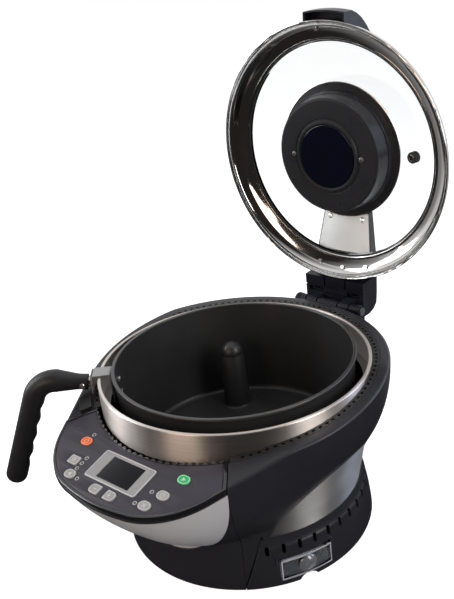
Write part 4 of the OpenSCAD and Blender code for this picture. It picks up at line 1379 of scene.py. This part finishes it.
pockets = [
    pocket(-40, 40, 181.6, 183.2, 1.6), pocket(-13.4, -11.8, 183, 197, 2.4),
    pocket(14.2, 15.8, 183, 197, 2.4), pocket(-34, -14, 175.4, 181, 3.2), pocket(17, 34, 175.4, 181, 3.2),
    pocket(-28, -21, 177.4, 181, 7), pocket(22, 29, 177.4, 181, 7), pocket(-12, 15, 174.9, 176.2, 1.6)]
softened("lid_arm", 0.7, hinge_black, 2, cutters=pockets)
rib = turned(rounded([(5.6, 0, 0), (6.95, 0, 0.3), (6.95, 0.8, 0.3), (5.6, 0.8, 0)], 3), 60)
rib_places = [HINGE @ Matrix.Translation((0, 0, x)) for x in (-41, -39.2, -37.4, 36.6, 38.4, 40.2)]
ribs = [moved(rib, place) for place in rib_places]
piece("hinge_ribs", ribs, [hinge_black], "base")
sheet_outline = rounded([(-28, 0, 1.5), (28, 0, 1.5), (33.8, -PLATE_RUN, 1), (-33.8, -PLATE_RUN, 1)])
sheet_place = LID @ Matrix.Translation((0, 70.7, 34.6)) @ ARM_SLOPE
sheet = moved(flat([sheet_outline], 0, 0.8, 0.2), sheet_place)
piece("plate_sheet", [sheet], [plate_silver], "lid", ["arm_plate"])
softened("lid_grip", 0.6, hinge_black, 3)
softened("hinge_bracket", 0.8, hinge_black, 2)
softened("handle_saddle", 0.6, deck_black, 2)
softened("vent_ring", 0.15, deck_black, 1)
print("arm, grip and hinge softened")

# %% [markdown]
# ## The foot
# The foot band is a moulded ring in two halves between the legs. Its shoulder dips under the steel band,
# turns over a small bead and carries a row of vents. The vents, the drawer's mouth and the finger notch
# are cut out of the lofted halves as a mould's slides would leave them. A dark screen stands behind the
# vents, and dark strips behind the seams, so that no light leaks through.

# %% Foot band
DRAWER_TURN = -25.4
SLOT_STEP = 7.5
SLOT_TURN = 2.5
DRAWER = Matrix.Rotation(math.radians(DRAWER_TURN), 4, "Z")


def band_end(z):
    """Angle from the side at which the band meets a leg."""
    return min(52.8, math.degrees(math.asin((LEG_HALF - z / LEG_STEEP) / FOOT_RADIUS)) - 0.45)


shoulder = curve_through([(119.3, 51.5), (119.9, 48.4), (120.8, 45.0), (121.9, 42.4)], 5)
bead = [(122.4, 41.7), (122.8, 40.9), (123.05, 39.9), (123.15, 38.8)]
band_face = curve_through([(123.3, 37.2), (124.7, 30), (126.0, 22), (127.5, 9), (128, 2.4)], 5)
band_inside = [
    (127.8, 1.7), (127.3, 1.5), (124.5, 1.5), (124.3, 9), (122.6, 24), (120.6, 37.5), (119.0, 44),
    (118.6, 50.6), (118.7, 51.5)]
band_profile = shoulder + bead + band_face + band_inside
band_rings = []
for f in stepped(-1, 1, 0.0125):
    turns = [f * band_end(z) for r, z in band_profile]
    band_rings.append([(r * cosd(a), r * sind(a), z) for a, (r, z) in zip(turns, band_profile)])
half_band = lofted(band_rings)
HALF_TURN = Matrix.Rotation(math.pi, 4, "Z")
slot_cutter = prism(rounded_box(-4.7, -2, 4.7, 2, 1.6), 112, 133)
slot_place = Matrix.Translation((0, 0, 38.6)) @ TO_SIDE
slots = []
for side in (0, 180):
    for k in range(-6, 6):
        turn = Matrix.Rotation(math.radians(side + SLOT_TURN + SLOT_STEP * k), 4, "Z")
        slots.append(moved(slot_cutter, turn @ slot_place))
mouth = moved(prism(bar(23.4, 55.6), 90, 140), DRAWER @ Matrix.Translation((0, 0, 18.0)) @ TO_SIDE)
notch = moved(prism([(0.72 * x, y) for x, y in circle(9.5)], 117, 134), DRAWER @ TO_SIDE)
band = carved([half_band, moved(half_band, HALF_TURN)], slots + [mouth, notch])
foot_band = piece("foot_band", [band], [satin_black], "base", ["base_skirt"], crease=35)


def seam_back(middle):
    """A dark strip behind the seam where the band meets a leg."""
    rings = []
    turns = [middle + d for d in (-2.4, -0.8, 0.8, 2.4)]
    for z in stepped(0.4, 44, 6):
        outer = leg_radius(z) - 3.3
        front = [(outer * cosd(a), outer * sind(a), z) for a in turns]
        rear = [((outer - 1) * cosd(a), (outer - 1) * sind(a), z) for a in reversed(turns)]
        rings.append(front + rear)
    return lofted(rings)


ledge = carved([turned([(84, 6.3), (122, 6.3), (122, 9.3), (84, 9.3)], 96)], [mouth])
screen = carved([turned([(112, 9.6), (113, 9.6), (113, 46), (112, 46)], 96)], [mouth])
backs = [seam_back(middle) for middle in (53.3, 126.7, 233.3, 306.7)]
piece("foot_ledge", [ledge, screen, *backs], [satin_black], "base")
print("foot_band:", len(foot_band.data.polygons), "faces")

# %% [markdown]
# The clear drip drawer has a frosted lip that follows the foot's curve and a dished boss for a finger.
# The lip is cut as a flat frame and then bent onto that curve, which is easier than drawing it bent. A
# dark bay behind the drawer keeps the inside of the foot out of sight.

# %% Drawer
DRAWER_FACE = 127.8
LIP_HALF = 26.4
LIP_LOW = 7
LIP_HIGH = 28.6
LIP_WIDTH = 1.1
drawer = softened("drip_drawer", 0.5, clear_plastic, 2)
boss_profile = [
    (0.01, 2.7), (2, 2.9), (3.6, 3.6), (4.6, 3.9), (5.6, 3.7), (7.4, 2.2), (9, 0.6), (9.3, 0), (8.2, 0),
    (6.8, 0.8), (4, 1.6), (0.01, 1.2)]
boss_part = moved(turned(boss_profile, 48), DRAWER @ Matrix.Translation((127.6, 0, 18.2)) @ TO_SIDE)
boss = piece("drawer_boss", [boss_part], [clear_lens], "drawer")
lip_loops = []
for width in (0, LIP_WIDTH):
    across = stepped(width - LIP_HALF, LIP_HALF - width, 2.2)
    low_side = [(u, LIP_LOW + width) for u in across]
    lip_loops.append(low_side + [(u, LIP_HIGH - width) for u in reversed(across)])
lip_points, lip_faces = flat(lip_loops, -0.2, 0.2, 0.1)
lip_points = [(math.sqrt((DRAWER_FACE + c) ** 2 - u * u), u, z) for u, z, c in lip_points]
lip_part = moved((lip_points, lip_faces), DRAWER)
lip = piece("drawer_lip", [lip_part], [frosted_edge], "drawer")
for clear in (drawer, boss, lip):
    clear.visible_shadow = False
bay_outline = [
    (92, -30), (122.5, -30), (122.5, -28.2), (93.5, -28.2), (93.5, 28.2), (122.5, 28.2), (122.5, 30),
    (92, 30)]
bay_slab = bar(29, 58, 107.5)
bay_walls = [(bay_outline, 9.5, 31), (bay_slab, 30, 31.5), (bay_slab, 4.6, 6)]
bay_parts = [flat([outline], low, high, 0.3) for outline, low, high in bay_walls]
piece("drawer_bay", [moved(part, DRAWER) for part in bay_parts], [satin_black], "base")
softened("feet", 0.8, rubber, 2)
softened("bottom_plate", 0.3, satin_black, 1)
softened("mains_inlet", 0.6, hinge_black, 2)
neck_outline = rounded_box(-15, 16, 15, 38, 2)
neck = lofted([[(x, y, z) for x, z in neck_outline] for y in (121, 126.5)])
piece("inlet_neck", [neck], [hinge_black], "base")
print("drawer and feet ready")

# %% [markdown]
# ## What stays as it is
# Pins, boards, the heater and the well keep their solids. They are seldom seen, but the well shows past
# the pot, and the heater shows when the pot is lifted out, so each still gets a real finish.

# %% Solids that stay
STAYS = [
    (sheet_metal, ["chamber", "thermostat_seat"]),
    (cast_aluminium, ["heater_plate", "thermostat"]),
    (circuit_green, ["power_board", "control_board"]),
    (dull_steel, ["hinge_pin"]),
    (rubber, ["lid_gasket"]),
    (bright_steel, [
        "thermostat_spring", "sensor_probe", "inlet_pins", "bracket_screws", "pot_rivets", "grip_screw",
        "hub_stud", "rim_screws", "base_screws"])]
for material, names in STAYS:
    for node in names:
        dress(node, material)
print("solids that stay:", sum(len(names) for material, names in STAYS))
